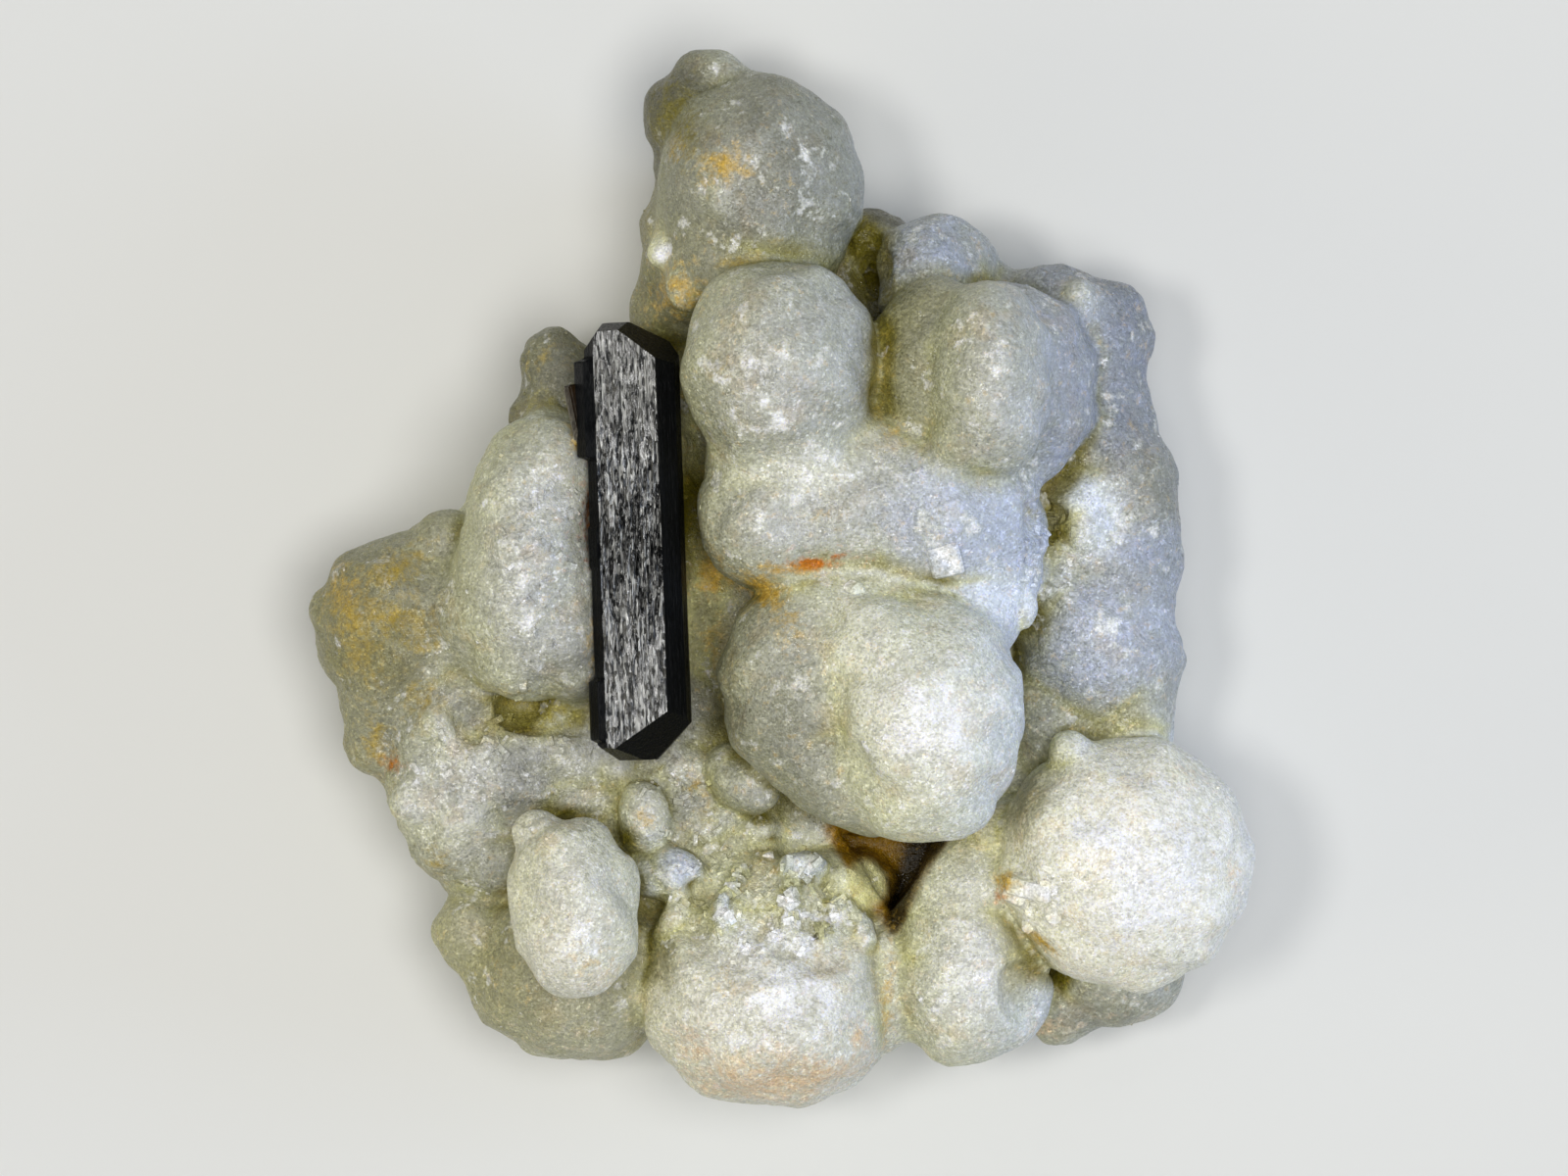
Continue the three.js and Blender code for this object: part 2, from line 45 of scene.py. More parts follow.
# Balls of prehnite: centre x, y, z, half sizes across, along and up, turn about z in degrees,
# how light the ball is painted against the rest, and the tints that it leans to; the lightness and the tints
# are partly the ball's own tone and partly painted light and shade, with dim balls darker and right-hand ones
# bluer.
# A lump is a set of balls that melt into each other with a fillet of their own.
lumpBalls = {
    "crown": {
        "crown": (-1.5, 28.2, 17, 7.3, 7.9, 7.6, 0, 0.58, "grey"),
        "crownBack": (-6.5, 33.6, 13, 3.3, 3.6, 4, 0, 0.32, "olive moss grey"),
        "crownBackLow": (-7.2, 30.2, 12, 1.9, 3.0, 3.5, 0, 0.32, "olive moss grey"),
        "crownKnobLeft": (-6.5, 35.9, 14.0, 1.4, 1.5, 1.6, 0, 0.45),
        "crownKnob": (-4.3, 36.0, 14.8, 1.8, 1.7, 1.8, 0, 0.66),
        "crownKnobRight": (-2.5, 35.2, 15.4, 1.9, 1.2, 1.6, -20, 0.66),
        "shoulder": (-6.9, 23.4, 12, 3.1, 6.2, 5, 0, 0.58, "olive grey"),
        "shoulderFoot": (-8.2, 19.2, 10.5, 2.8, 2.4, 3.2, -25, 0.58, "olive grey"),
        "shoulderKnob": (-8.4, 23.5, 17.0, 1.2, 1.2, 1.5, 0, 1.36),
        "crownNeck": (-2.4, 23.2, 16.6, 6.0, 5.6, 6.6, 0, 0.58, "olive grey"),
    },
    "heart": {
        "heart": (-0.2, 15.3, 24, 6.9, 7.4, 7.8, 0, 0.74),
        "heartBelow": (0.9, 9.0, 21.2, 6.1, 4.9, 6.4, 0, 1.18),
    },
    "twin": {
        "twinFront": (14.7, 14.5, 25.8, 4.4, 6.9, 6.3, 3, 0.74),
        "twinLeft": (11.3, 14.9, 21.4, 5.1, 6.6, 6.4, 6, 0.74, "olive grey"),
        "twinNose": (13.4, 10.3, 24.6, 3.0, 2.9, 5.2, 30, 0.74),
    },
    "twinBehind": {"twinBehind": (16.2, 13.9, 19.4, 5.9, 7.4, 6.6, 0, 0.58, "blue")},
    "barrel": {
        "barrelLeft": (-0.9, 4.3, 21.6, 4.9, 4.8, 6.2, 12, 0.74),
        "barrelMiddle": (5.4, 6.2, 20.6, 6.6, 6.2, 6.6, 0, 0.74),
        "barrelRight": (11.4, 4.8, 21.2, 6.3, 6.2, 6.7, 0, 0.85, "blue"),
        "barrelEdge": (14.8, 1.7, 19.2, 2.9, 4.6, 4.4, 8, 1, "blue"),
        "barrelCore": (6.0, 6.5, 12.5, 10.5, 9.5, 10, 0),
    },
    "front": {
        "front": (10.5, -9.9, 26.4, 6.6, 8.6, 8.1, -4, 1.1),
        "frontLobe": (6.4, -4.8, 25.6, 4.2, 3.7, 5.4, 0, 1.18),
        "frontLobeLow": (7.0, -13.4, 22.6, 3.7, 4.4, 5.6, -20, 0.66),
        "frontSide": (7.2, -8.4, 27.6, 3.6, 3.8, 5.0, -8, 1.1),
        "frontLeft": (2.5, -7.1, 22.0, 7.0, 7.7, 6.8, 10, 0.74, "grey"),
        "frontLow": (4.3, -12.1, 22.4, 5.4, 4.7, 6, -25, 0.58),
        "frontTop": (5.4, -2.6, 22.2, 6.4, 3.9, 5.4, 0, 1.18),
        "frontCore": (6.6, -8.4, 14.5, 8.0, 7.6, 9, 0),
        "frontKnob": (-2.2, -14.5, 17.6, 2.1, 1.9, 2.6, 0, 0.74),
        "frontKnobNeck": (-3.9, -13.0, 16.0, 1.3, 1.1, 2.0, -35),
        "frontLinkRight": (13.4, -2.0, 21.0, 3.6, 3.4, 5.2, -20, 1.18, "blue"),
    },
    "right": {
        "saddle": (10.3, 21.8, 15.0, 3.7, 4.2, 4.6, 0, 0.74, "blue grey"),
        "saddleKnob": (13.3, 22.8, 14.6, 1.6, 1.6, 2.2, 0, 0.58),
        "saddleKnobLow": (15.3, 20.9, 12.8, 1.6, 1.2, 2, 0, 0.58),
        "saddleLink": (6.7, 24.3, 9.2, 2.5, 2.4, 3.6, 0, 0.32, "moss grey"),
        "edgeTop": (19.9, 18.9, 14, 3.4, 3.4, 4, 0, 0.5, "blue grey"),
        "edgeCorner": (23.0, 18.0, 13.8, 3.0, 3.1, 3.4, 0, 0.5, "blue grey"),
        "edgeUpper": (22.3, 13.4, 13.6, 3.4, 4.2, 4, 0, 0.5, "blue grey"),
        "edgeWaist": (23.1, 9.9, 13.8, 3.5, 3.3, 4, 0, 0.5, "blue grey"),
        "edgeBulge": (24.9, 6.9, 14, 3.3, 3.3, 4, 0, 0.58, "grey"),
        "edgeInner": (21.6, 5.2, 15.4, 2.9, 2.8, 3.2, 0, 1.36, "blue"),
        "edgeMiddle": (25.0, 1.3, 13.6, 3.6, 4.2, 4.2, 0, 0.66, "blue grey"),
        "edgePillow": (22.6, -4.2, 14.2, 5.0, 4.9, 5, 0, 0.74, "blue"),
        "edgeLow": (25.2, -7.2, 12.8, 2.9, 3.7, 4, 0, 0.74, "grey"),
        "edgeFoot": (24.4, -11.2, 12, 3.0, 3.4, 4, 0),
        "innerUpper": (19.6, -1.0, 13.4, 3.2, 3.6, 4, 0, 0.74),
        "innerLow": (19.6, -9.6, 11.6, 3.9, 5.2, 4.6, 0, 0.74),
        "hollowKnob": (19.6, 2.8, 15.2, 1.5, 1.1, 1.5, 25),
        "hollowKnobLow": (17.6, 0.6, 16.2, 1.3, 1.2, 1.6, 0),
    },
    "bottom": {
        "round": (24.5, -20.0, 18.2, 9.0, 8.9, 8.6, 0, 1.18, "cream"),
        "roundKnob": (20.5, -12.1, 20.2, 1.5, 1.4, 1.7, 0, 1.18),
        "roundFoot": (22.6, -18.6, 9.5, 7.0, 6.6, 7, 0),
        "behindRound": (23.8, -26.9, 10, 4.9, 4.6, 5.2, 0, 0.74, "grey"),
        "behindKnob": (20.2, -30.0, 9.4, 3.2, 2.9, 3.4, 0, 0.74, "grey"),
        "behindEdge": (26.0, -28.4, 9, 2.8, 2.6, 3.2, 0, 1, "grey"),
        "pear": (13.4, -28.4, 14.6, 5.8, 5.9, 6.2, 0),
        "pearNeck": (13.3, -23.0, 14.6, 4.8, 5.6, 5.4, -8, 1.0),
        "pearWaist": (13.2, -25.8, 15.0, 5.1, 4.4, 5.9, -4),
        "pearTop": (15.2, -18.4, 14.2, 3.6, 3.2, 4, 0, 1.18),
        "bowl": (-1.3, -29.3, 15.4, 8.8, 8.1, 8.6, 0, 1.0, "cream"),
        "bowlDome": (0.2, -32.2, 16.3, 6.6, 4.2, 8.6, 4, 1.0, "cream"),
        "bowlTop": (-1.0, -24.2, 14.8, 7.4, 4.9, 6, 4, 1.36),
        "bowlShoulder": (2.8, -22.9, 14.4, 3.7, 3.6, 4.4, 0, 1.36),
        "bowlKnob": (-4.0, -23.9, 19.9, 1.4, 2.4, 1.9, -8, 1.36, "blue"),
        "poolKnob": (1.6, -20.4, 18.8, 1.5, 1.4, 2.0, 0, 1.36, "blue"),
        "bowlLink": (7.6, -28.2, 13.8, 2.2, 5.2, 4.2, 0),
        "bowlRight": (3.4, -32.2, 13.6, 4.0, 3.6, 5, 0),
        "bowlLeft": (-9.0, -26.2, 11, 3.4, 4.6, 5, 0),
        "behindBowl": (-14.6, -27.4, 12, 7.1, 6.9, 7.2, 0, 0.85, "olive grey"),
        "behindBowlEdge": (-19.3, -28.2, 11, 3.4, 3.4, 4, 0, 0.85, "olive grey"),
        "behindBowlBump": (-21.9, -24.9, 11, 2.9, 2.7, 3.4, 0, 0.85, "olive"),
        "egg": (-14.6, -23.0, 24.4, 4.6, 6.3, 5.4, 6, 1.0, "cream"),
        "eggStem": (-14.4, -22.4, 16, 3.8, 4.6, 8, 0),
        "eggKnob": (-17.2, -17.4, 23.6, 1.7, 1.3, 1.7, 25, 1.0, "cream"),
        "pebble": (-9.8, -16.5, 16.8, 1.8, 2.4, 2.2, -10),
        "pebbleUpper": (-11.6, -13.2, 14.8, 1.2, 1.2, 1.8, 0, 0.74),
        "doubleKnob": (-7.5, -20.5, 17.2, 1.9, 1.6, 2, 15, 1, "blue"),
        "doubleKnobLeft": (-9.3, -21.1, 16.8, 1.5, 1.4, 2, 0, 1, "blue"),
    },
    "left": {
        "leftBig": (-17.9, 1.5, 18, 5.1, 9.9, 7.2, -3, 0.85),
        "leftBigLow": (-15.0, -3.9, 17.0, 3.1, 4.4, 6.6, 0, 0.58),
        "leftBigTop": (-16.3, 8.2, 17.2, 3.8, 3.3, 6.0, 0, 0.85),
        "leftBigFlank": (-21.4, -2.4, 15, 3.4, 4.4, 5, 0, 0.66),
        "finger": (-16.0, 14.2, 12.4, 2.9, 3.8, 3.2, 0, 0.45, "olive grey"),
        "fingerNeck": (-16.4, 10.4, 12.2, 3.1, 3.4, 3.8, 0, 0.45, "olive moss grey"),
        "farLeft": (-27.3, -2.9, 11.6, 6.3, 6.3, 6.4, 0, 0.66, "olive grey"),
        "farLeftLow": (-27.6, -7.6, 11, 4.0, 3.8, 4.6, 0, 0.66, "olive grey"),
        "farLeftBump": (-28.6, -11.3, 10.6, 2.6, 2.6, 3.2, 0, 0.66, "olive"),
        "leftKnob": (-24.0, 3.0, 13.4, 2.0, 2.0, 2.6, 0, 0.66, "olive"),
    },
    "terrace": {
        "terrace": (-19.8, -13.6, 11.4, 5.0, 4.6, 5.4, 0, 0.5),
        "terraceLeft": (-24.3, -13.5, 10.8, 4.0, 4.1, 5, 0, 0.66),
        "terraceTop": (-23.6, -8.4, 12, 3.9, 3.6, 4.4, 0, 0.58, "grey"),
        "terraceLow": (-22.3, -17.7, 10.4, 3.8, 3.6, 4.6, 0, 0.66),
        "terraceFoot": (-19.8, -20.0, 10.2, 3.5, 3.2, 4.6, 0, 0.66),
        "terraceInner": (-14.2, -11.6, 11.6, 4.6, 4.0, 5, 0, 0.74),
    },
    "floor": {
        "pool": (-6.6, -17.6, 8.4, 8.4, 6.4, 8, 0, 0.5, "grey"),
        "poolUpper": (-8.6, -11.4, 9.2, 6.0, 5.4, 7, 0, 0.5, "grey"),
        "crystalRidge": (-11.0, 3.6, 11.6, 4.4, 12.6, 8.6, -2, 1, "olive grey"),
        "strip": (-5.6, 1.5, 6, 5.2, 15.0, 8, 0, 1, "olive moss grey"),
        "massUpper": (-1.0, 19.0, 6, 8.6, 11.0, 8.4, 0, 1, "moss"),
        "massMiddle": (1.0, -2.0, 6, 12.0, 17.0, 8.6, 0, 1, "moss"),
        "massRight": (13.0, 6.0, 6, 12.0, 15.0, 9.5, 0),
        "massLeft": (-16.0, -6.0, 5.6, 10.5, 15.0, 8.4, 0),
        "massLow": (-3.0, -21.0, 6, 16.5, 10.0, 8.6, 0),
        "massLowRight": (16.0, -16.0, 6, 11.0, 12.0, 8, 0),
    },
}
prehniteShape = {
    "cell": 0.42,  # size of the mesh faces
    "low": (-84, -96, -12),  # corners of the grid, in cells
    "high": (84, 96, 88),
    "lumpFillet": 0.35,  # how softly one lump runs into the next
    "reach": 3,  # how far outside a ball its pull is still worked out
    "fillets": {
        "crown": 0.4, "heart": 0.7, "twin": 0.5, "twinBehind": 0.3, "barrel": 1.5, "front": 0.7,
        "right": 1.0, "bottom": 0.45, "left": 0.6, "terrace": 1.3, "floor": 1.0,
        "knobs": 0.3,
    },
    "swell": 0.3,  # how far the balls depart from true ellipsoids, and over what length
    "swellWave": 7.5,
    # the low relief of the skin: how high, over what length, and the seed
    "waves": ((0.2, 2.7, 3), (0.1, 1.3, 5)),
    "buds": ((0.42, 1.7, 7), (0.26, 0.95, 11)),  # these grow where the skin is rough
    "budSink": 0.14,
    # the balls that an outer ball stands on: size, place and height against that ball
    "olderOnes": (
        "crown", "shoulder", "saddle", "edgeTop", "edgeUpper", "edgeBulge", "edgeMiddle",
        "edgePillow", "round", "behindRound", "pear", "bowl", "behindBowl", "terraceLow",
        "terraceLeft", "farLeft", "leftBig", "fingerNeck",
    ),
    "olderShare": 0.78,
    "olderInwards": 0.86,
    "olderHeight": 4.6,
    # how rough the crystal skin of a lump is, from 0 to 1
    "grit": {
        "crown": 0.3, "heart": 0.3, "twin": 0.15, "twinBehind": 0.25, "barrel": 0.3, "front": 0.25,
        "right": 0.5, "bottom": 0.38, "left": 0.5, "terrace": 0.8, "floor": 1.0,
        "knobs": 0.6,
    },
}
# The deep pocket where the front ball, the bowl and the pear meet: a well with three sides
pocket = {
    "corners": ((3.4, -17.6), (7.9, -24.6), (11.5, -17.9)),
    "floor": 8.5,
    "roof": 21.0,
    # below this height the pocket is painted amber-brown, partly its own colour and partly painted shade
    "brownAndShadeBelow": 18.6,
    "rounding": 0.35,
    "lump": (6.0, -21.5, 1.5, 1.7, 8.0),  # a pale lump in it: place, half sizes, and height
}
# Knobs that grew on the surface: x, y, half sizes, turn in degrees, and how far each stands out
knobs = {
    "blade": (-3.4, -21.4, 0.7, 1.5, 1.2, -25, 0.7),
    "bowlLeft": (-7.4, -24.6, 1.3, 1.8, 1.2, 0, 0.1),
    "bowlRib": (0.4, -22.6, 1.0, 1.8, 1.2, -15, 0.1),
    "bowlCorner": (3.6, -23.0, 1.2, 1.2, 1.2, 20, 0.25),
    "bowlRim": (5.6, -25.0, 0.7, 1.3, 1.0, 10, 0.15),
    "bowlFlake": (2.6, -24.8, 1.4, 0.6, 1.0, 24, 0.1),
    "poolMiddle": (-7.0, -13.0, 1.8, 1.6, 1.4, 0, 0.2),
    "poolSide": (-3.6, -16.6, 1.4, 1.0, 1.2, 40, 0.3),
    "poolLow": (-5.6, -17.8, 1.2, 0.9, 1.0, -20, 0.2),
    "poolFar": (-1.4, -17.6, 1.1, 0.8, 1.0, 10, 0.3),
    "crystalFoot": (-16.2, -9.4, 1.7, 1.5, 1.4, 20, 0.4),
    "crystalFootLeft": (-18.4, -8.6, 1.1, 1.2, 1.2, 0, 0.3),
    "terraceMound": (-14.6, -15.0, 2.9, 2.1, 2.0, 8, 0.1),
    "terraceRing": (-26.4, -15.8, 1.4, 1.2, 1.2, 0, 0.3),
    "terraceRidge": (-24.0, -10.8, 0.9, 1.9, 1.2, 25, 0.3),
    "terraceFlake": (-21.4, -12.2, 1.4, 1.0, 1.2, 35, 0.3),
    "terraceEdge": (-22.4, -16.4, 2.0, 1.3, 1.4, 20, 0.2),
    "farLeftRib": (-24.6, -5.8, 1.0, 1.8, 1.2, -30, 0.2),
    "hollowUpper": (18.6, 6.2, 1.2, 0.9, 1.2, 20, 0.5),
    "hollowTwin": (21.4, 3.6, 1.0, 1.2, 1.2, 0, 0.4),
    "hollowSpur": (17.0, -2.0, 0.8, 1.4, 1.2, 20, 0.4),
    "rimSpot": (21.0, 20.0, 0.8, 1.4, 1.0, 0, 0.1),
    "shoulderNick": (-6.6, 20.6, 1.0, 1.4, 1.0, 15, 0.2),
    "crownRib": (-4.2, 27.6, 0.6, 1.7, 0.8, -18, 0.1),
}
# Dents and ledges: x, y, half sizes, turn in degrees, and depth
dents = {
    "pearDimple": (17.0, -29.4, 1.3, 2.2, 10, 0.9),
    "frontPit": (3.0, -11.2, 1.5, 1.2, 30, 0.7),
    "frontFold": (3.9, -9.0, 0.8, 1.9, -10, 0.6),
    "frontFoldLow": (5.4, -12.6, 0.8, 1.6, 30, 0.6),
    "frontFoldHigh": (2.2, -5.6, 0.8, 1.4, 10, 0.4),
    "hollow": (18.4, 4.0, 1.2, 1.0, 20, 1.2),
    "bowlHollow": (0.6, -25.6, 1.3, 0.9, 10, 0.35),
    "bowlHollowLeft": (-2.2, -25.4, 1.1, 1.0, 0, 0.3),
    "bowlHollowRight": (2.8, -23.2, 0.9, 1.0, 0, 0.35),
    "bowlHollowUpper": (-0.9, -22.6, 0.8, 1.2, 0, 0.35),
    "barrelCrease": (6.0, 1.4, 5.0, 0.5, -4, 0.35),
    "eggDent": (-17.3, -23.6, 1.2, 2.0, 15, 0.9),
    "eggFold": (-15.6, -20.8, 0.7, 1.8, -30, 0.3),
    "eggFlat": (-12.4, -21.0, 1.8, 2.4, 20, 0.25),
    "frontDent": (13.0, -9.5, 1.4, 2.2, 30, 0.3),
    "frontDentLow": (8.0, -14.6, 2.4, 1.2, 20, 0.25),
    "heartDent": (1.4, 13.0, 1.4, 1.1, 0, 0.2),
}

# Shallow basins with a ragged rim: x, y, half sizes, turn in degrees, and depth
basins = {
    "bowlTop": (-0.2, -23.9, 6.4, 4.2, 2, 1.1),
    "bowlTopInner": (0.6, -24.6, 2.6, 1.6, -10, 0.4),
    "pearSide": (17.2, -29.0, 1.8, 2.3, 10, 0.8),
    "leftHollow": (-17.2, -9.6, 3.6, 1.4, -6, 1.0),
    "hollowCrevice": (18.6, 5.0, 1.5, 0.9, -10, 0.9),
    "saddleGap": (6.7, 22.6, 1.0, 2.6, 15, 1.1),
    "terraceGap": (-22.0, -9.8, 1.3, 1.7, 20, 0.7),
    "terraceGapLow": (-18.6, -16.4, 2.6, 0.9, 10, 0.4),
    "terraceBowl": (-24.6, -12.2, 1.5, 1.3, 0, 0.4),
    "poolGap": (-9.2, -12.6, 1.4, 1.1, 30, 0.5),
    "farLeftDent": (-26.2, -3.4, 1.8, 1.2, -30, 0.35),
}


def ballDistance(rel, ball):
    # distance outside a ball at places given from its centre, and the slope of that distance
    across, along, up, turn = ball[3:7]
    c, s = math.cos(math.radians(turn)), math.sin(math.radians(turn))
    x, y, z = rel
    u, v, w = (c * x + s * y) / across, (c * y - s * x) / along, z / up
    far = np.sqrt(u * u + v * v + w * w)
    gu, gv, gw = u / across, v / along, w / up
    steep = np.sqrt(gu * gu + gv * gv + gw * gw) + 1e-9
    slope = ((c * gu - s * gv) / steep, (s * gu + c * gv) / steep, gw / steep)
    return far * (far - 1) / steep, slope


def swellAt(x, y, z):
    k = 2 * math.pi / prehniteShape["swellWave"]
    across = np.sin(k * x + 1.3 * np.sin(0.6 * k * y))
    along = np.cos(k * y + 1.1 * np.sin(0.7 * k * z))
    return prehniteShape["swell"] * across * along


def pocketDistance(x, y, z):
    # how far a place lies outside the pocket, and the slope of that
    rounding = pocket["rounding"]
    lumpX, lumpY, across, along, high = pocket["lump"]
    u, v = (x - lumpX) / across, (y - lumpY) / along
    lump = high * np.exp(-(u * u + v * v) ** 2)
    fall = 4 * lump * (u * u + v * v)
    fallX, fallY = -fall * u / across, -fall * v / along
    steep = np.sqrt(1 + fallX ** 2 + fallY ** 2)
    sides = [
        ((pocket["floor"] + lump - z) / steep, (fallX / steep, fallY / steep, -1 / steep)),
        (z - pocket["roof"], (0, 0, 1)),
    ]
    corners = pocket["corners"]
    for (x0, y0), (x1, y1) in zip(corners, corners[1:] + corners[:1]):
        length = math.hypot(x1 - x0, y1 - y0)
        outX, outY = (y1 - y0) / length, (x0 - x1) / length
        sides.append(((x - x0) * outX + (y - y0) * outY, (outX, outY, 0)))
    weights = [np.exp(far / rounding) for far, _ in sides]
    total = sum(weights)
    slope = [sum(weight * way[n] for weight, (_, way) in zip(weights, sides)) / total for n in range(3)]
    return rounding * np.log(total), slope


def allLumps():
    # every lump with its older balls added: name, fillet, balls
    shape = prehniteShape
    share, inwards = shape["olderShare"], shape["olderInwards"]
    lumps = []
    for name, balls in lumpBalls.items():
        rows = dict(balls)
        for older in shape["olderOnes"]:
            if older in balls:
                x, y, _, across, along, up, turn = balls[older][:7]
                rows[older + "Older"] = (
                    x * inwards, y * inwards, shape["olderHeight"],
                    across * share, along * share, up * share, turn,
                )
        lumps.append((name, shape["fillets"][name], rows))
    return lumps


lumps = allLumps()


def standKnobs():
    # sets every knob on the surface under it
    heights = np.arange(34, 4, -0.2)
    rows = {}
    for name, (x, y, across, along, up, turn, out) in knobs.items():
        column = np.c_[np.full(len(heights), x), np.full(len(heights), y), heights]
        value, _ = massField(column)
        top = heights[np.argmax(value < 0)]
        rows[name] = (x, y, top + out - 0.7 * up, across, along, up, turn)
    return rows


def gridField():
    # the distance outside the prehnite on a grid of cells
    cell, low, high = (prehniteShape[key] for key in ("cell", "low", "high"))
    axes = [np.arange(a, b + 1) * cell for a, b in zip(low, high)]
    counts = [len(axis) for axis in axes]
    mass = np.full(counts, 1e-30)
    lumpFillet = prehniteShape["lumpFillet"]
    for _, fillet, balls in lumps:
        total = np.zeros(counts)
        for ball in balls.values():
            reach = max(ball[3:6]) + prehniteShape["reach"]
            spans = [
                slice(*np.searchsorted(axis, (centre - reach, centre + reach)))
                for axis, centre in zip(axes, ball[:3])
            ]
            rel = np.meshgrid(
                *[axis[span] - centre for axis, span, centre in zip(axes, spans, ball[:3])],
                indexing="ij", sparse=True,
            )
            distance, _ = ballDistance(rel, ball)
            total[tuple(spans)] += np.exp(-distance / fillet)
        mass += total ** (fillet / lumpFillet)
    x, y, z = np.meshgrid(*axes, indexing="ij", sparse=True)
    return np.maximum(-lumpFillet * np.log(mass), -pocketDistance(x, y, z)[0]) - swellAt(x, y, z)


def nearTo(rel, ball, reach):
    return np.flatnonzero(np.abs(rel).max(axis=1) < max(ball[3:6]) + reach)


def massField(points):
    # the same distance at a list of points, and its slope
    lumpFillet = prehniteShape["lumpFillet"]
    mass = np.full(len(points), 1e-30)
    slope = np.zeros_like(points)
    for _, fillet, balls in lumps:
        total = np.zeros(len(points))
        lean = np.zeros_like(points)
        for ball in balls.values():
            rel = points - np.array(ball[:3])
            near = nearTo(rel, ball, prehniteShape["reach"])
            distance, ballSlope = ballDistance(rel[near].T, ball)
            weight = np.exp(-distance / fillet)
            total[near] += weight
            lean[near] += weight[:, None] * np.array(ballSlope).T
        share = total ** (fillet / lumpFillet)
        mass += share
        slope += share[:, None] * lean / (total[:, None] + 1e-30)
    value = -lumpFillet * np.log(mass)
    slope /= mass[:, None]
    inPocket, pocketSlope = pocketDistance(*points.T)
    walls = -inPocket > value
    slope[walls] = -np.array(pocketSlope).T[walls]
    value = np.maximum(value, -inPocket) - swellAt(*points.T)
    return value, slope / (np.linalg.norm(slope, axis=1)[:, None] + 1e-9)


def closePinches(values):
    # fills the grid corners where the surface would touch itself along an edge
    changed = True
    while changed:
        inside = values < 0
        fill = np.zeros_like(inside)
        for a, b in ((0, 1), (0, 2), (1, 2)):
            def part(field, i, j):
                span = [slice(None)] * 3
                span[a] = slice(1, None) if i else slice(None, -1)
                span[b] = slice(1, None) if j else slice(None, -1)
                return field[tuple(span)]
            near, right, up, far = (part(inside, i, j) for i, j in ((0, 0), (1, 0), (0, 1), (1, 1)))
            crossed = (near == far) & (right == up) & (near != right)
            for i, j in ((0, 0), (1, 0), (0, 1), (1, 1)):
                part(fill, i, j)[...] |= crossed
        fill &= ~inside
        values[fill] = -0.01
        changed = fill.any()


def surfaceNet(values, low, cell):
    # one point in each cell that the surface passes through, one quad round each cut edge
    inside = values < 0
    ends = [slice(0, -1), slice(1, None)]
    counts = sum(inside[a, b, c].astype(np.uint8) for a in ends for b in ends for c in ends)
    cells = np.argwhere((counts > 0) & (counts < 8))
    numbers = np.full(counts.shape, -1)
    numbers[tuple(cells.T)] = np.arange(len(cells))
    total = np.zeros((len(cells), 3))
    cuts = np.zeros(len(cells))
    for axis in range(3):
        step = np.eye(3, dtype=int)[axis]
        others = [np.eye(3, dtype=int)[(axis + n) % 3] for n in (1, 2)]
        for i in (0, 1):
            for j in (0, 1):
                start = i * others[0] + j * others[1]
                a = values[tuple((cells + start).T)]
                b = values[tuple((cells + start + step).T)]
                cut = (a < 0) != (b < 0)
                share = np.where(cut, a / np.where(cut, a - b, 1), 0)
                total[cut] += start + share[cut, None] * step
                cuts += cut
    points = (cells + total / cuts[:, None] + np.array(low)) * cell
    quads = []
    for axis in range(3):
        span = [slice(1, -1)] * 3
        ahead = list(span)
        ahead[axis] = slice(2, None)
        here, there = inside[tuple(span)], inside[tuple(ahead)]
        edges = np.argwhere(here != there) + 1
        p, q = (np.eye(3, dtype=int)[(axis + n) % 3] for n in (1, 2))
        corners = [edges, edges - p, edges - p - q, edges - q]
        ring = np.stack([numbers[tuple(corner.T)] for corner in corners], axis=1)
        outwards = inside[tuple(edges.T)]
        quads.append(np.where(outwards[:, None], ring, ring[:, ::-1]))
    return points, np.concatenate(quads)


def largestPart(points, quads):
    # drops what isn't joined to the main mass, such as the skin of a closed hollow
    label = np.arange(len(points))
    while True:
        least = label[quads].min(axis=1)
        new = label.copy()
        np.minimum.at(new, quads.ravel(), np.repeat(least, 4))
        new = new[new]
        if (new == label).all():
            break
        label = new
    keep = label == np.bincount(label).argmax()
    order = np.cumsum(keep) - 1
    return points[keep], order[quads[keep[quads[:, 0]]]]


def hashed(cells, seed):
    # a value from 0 to 1 that belongs to each whole-numbered place
    mixed = cells[..., 0] * 374761393 + cells[..., 1] * 668265263 + cells[..., 2] * 1440662683 + seed * 974711
    mixed = (mixed ^ (mixed >> 13)) * 1274126177
    return ((mixed ^ (mixed >> 16)) & 0xFFFF) / 65535.0


def softNoise(points, wave, seed):
    # smooth noise from -1 to 1
    base = np.floor(points / wave).astype(np.int64)
    part = points / wave - base
    ease = part * part * (3 - 2 * part)
    total = np.zeros(len(points))
    for corner in np.ndindex(2, 2, 2):
        weight = np.prod(np.where(corner, ease, 1 - ease), axis=1)
        total += weight * hashed(base + np.array(corner), seed)
    return total * 2 - 1


def knobNoise(points, wave, seed):
    # 1 at scattered places about a wave apart, falling to 0 between them
    base = np.floor(points / wave).astype(np.int64)
    nearest = np.full(len(points), 9.0)
    for corner in np.ndindex(3, 3, 3):
        place = base + np.array(corner) - 1
        jitter = np.stack([hashed(place, seed + n) for n in range(3)], axis=1)
        nearest = np.minimum(nearest, np.linalg.norm(place + jitter - points / wave, axis=1))
    return np.clip(1 - nearest, 0, 1)


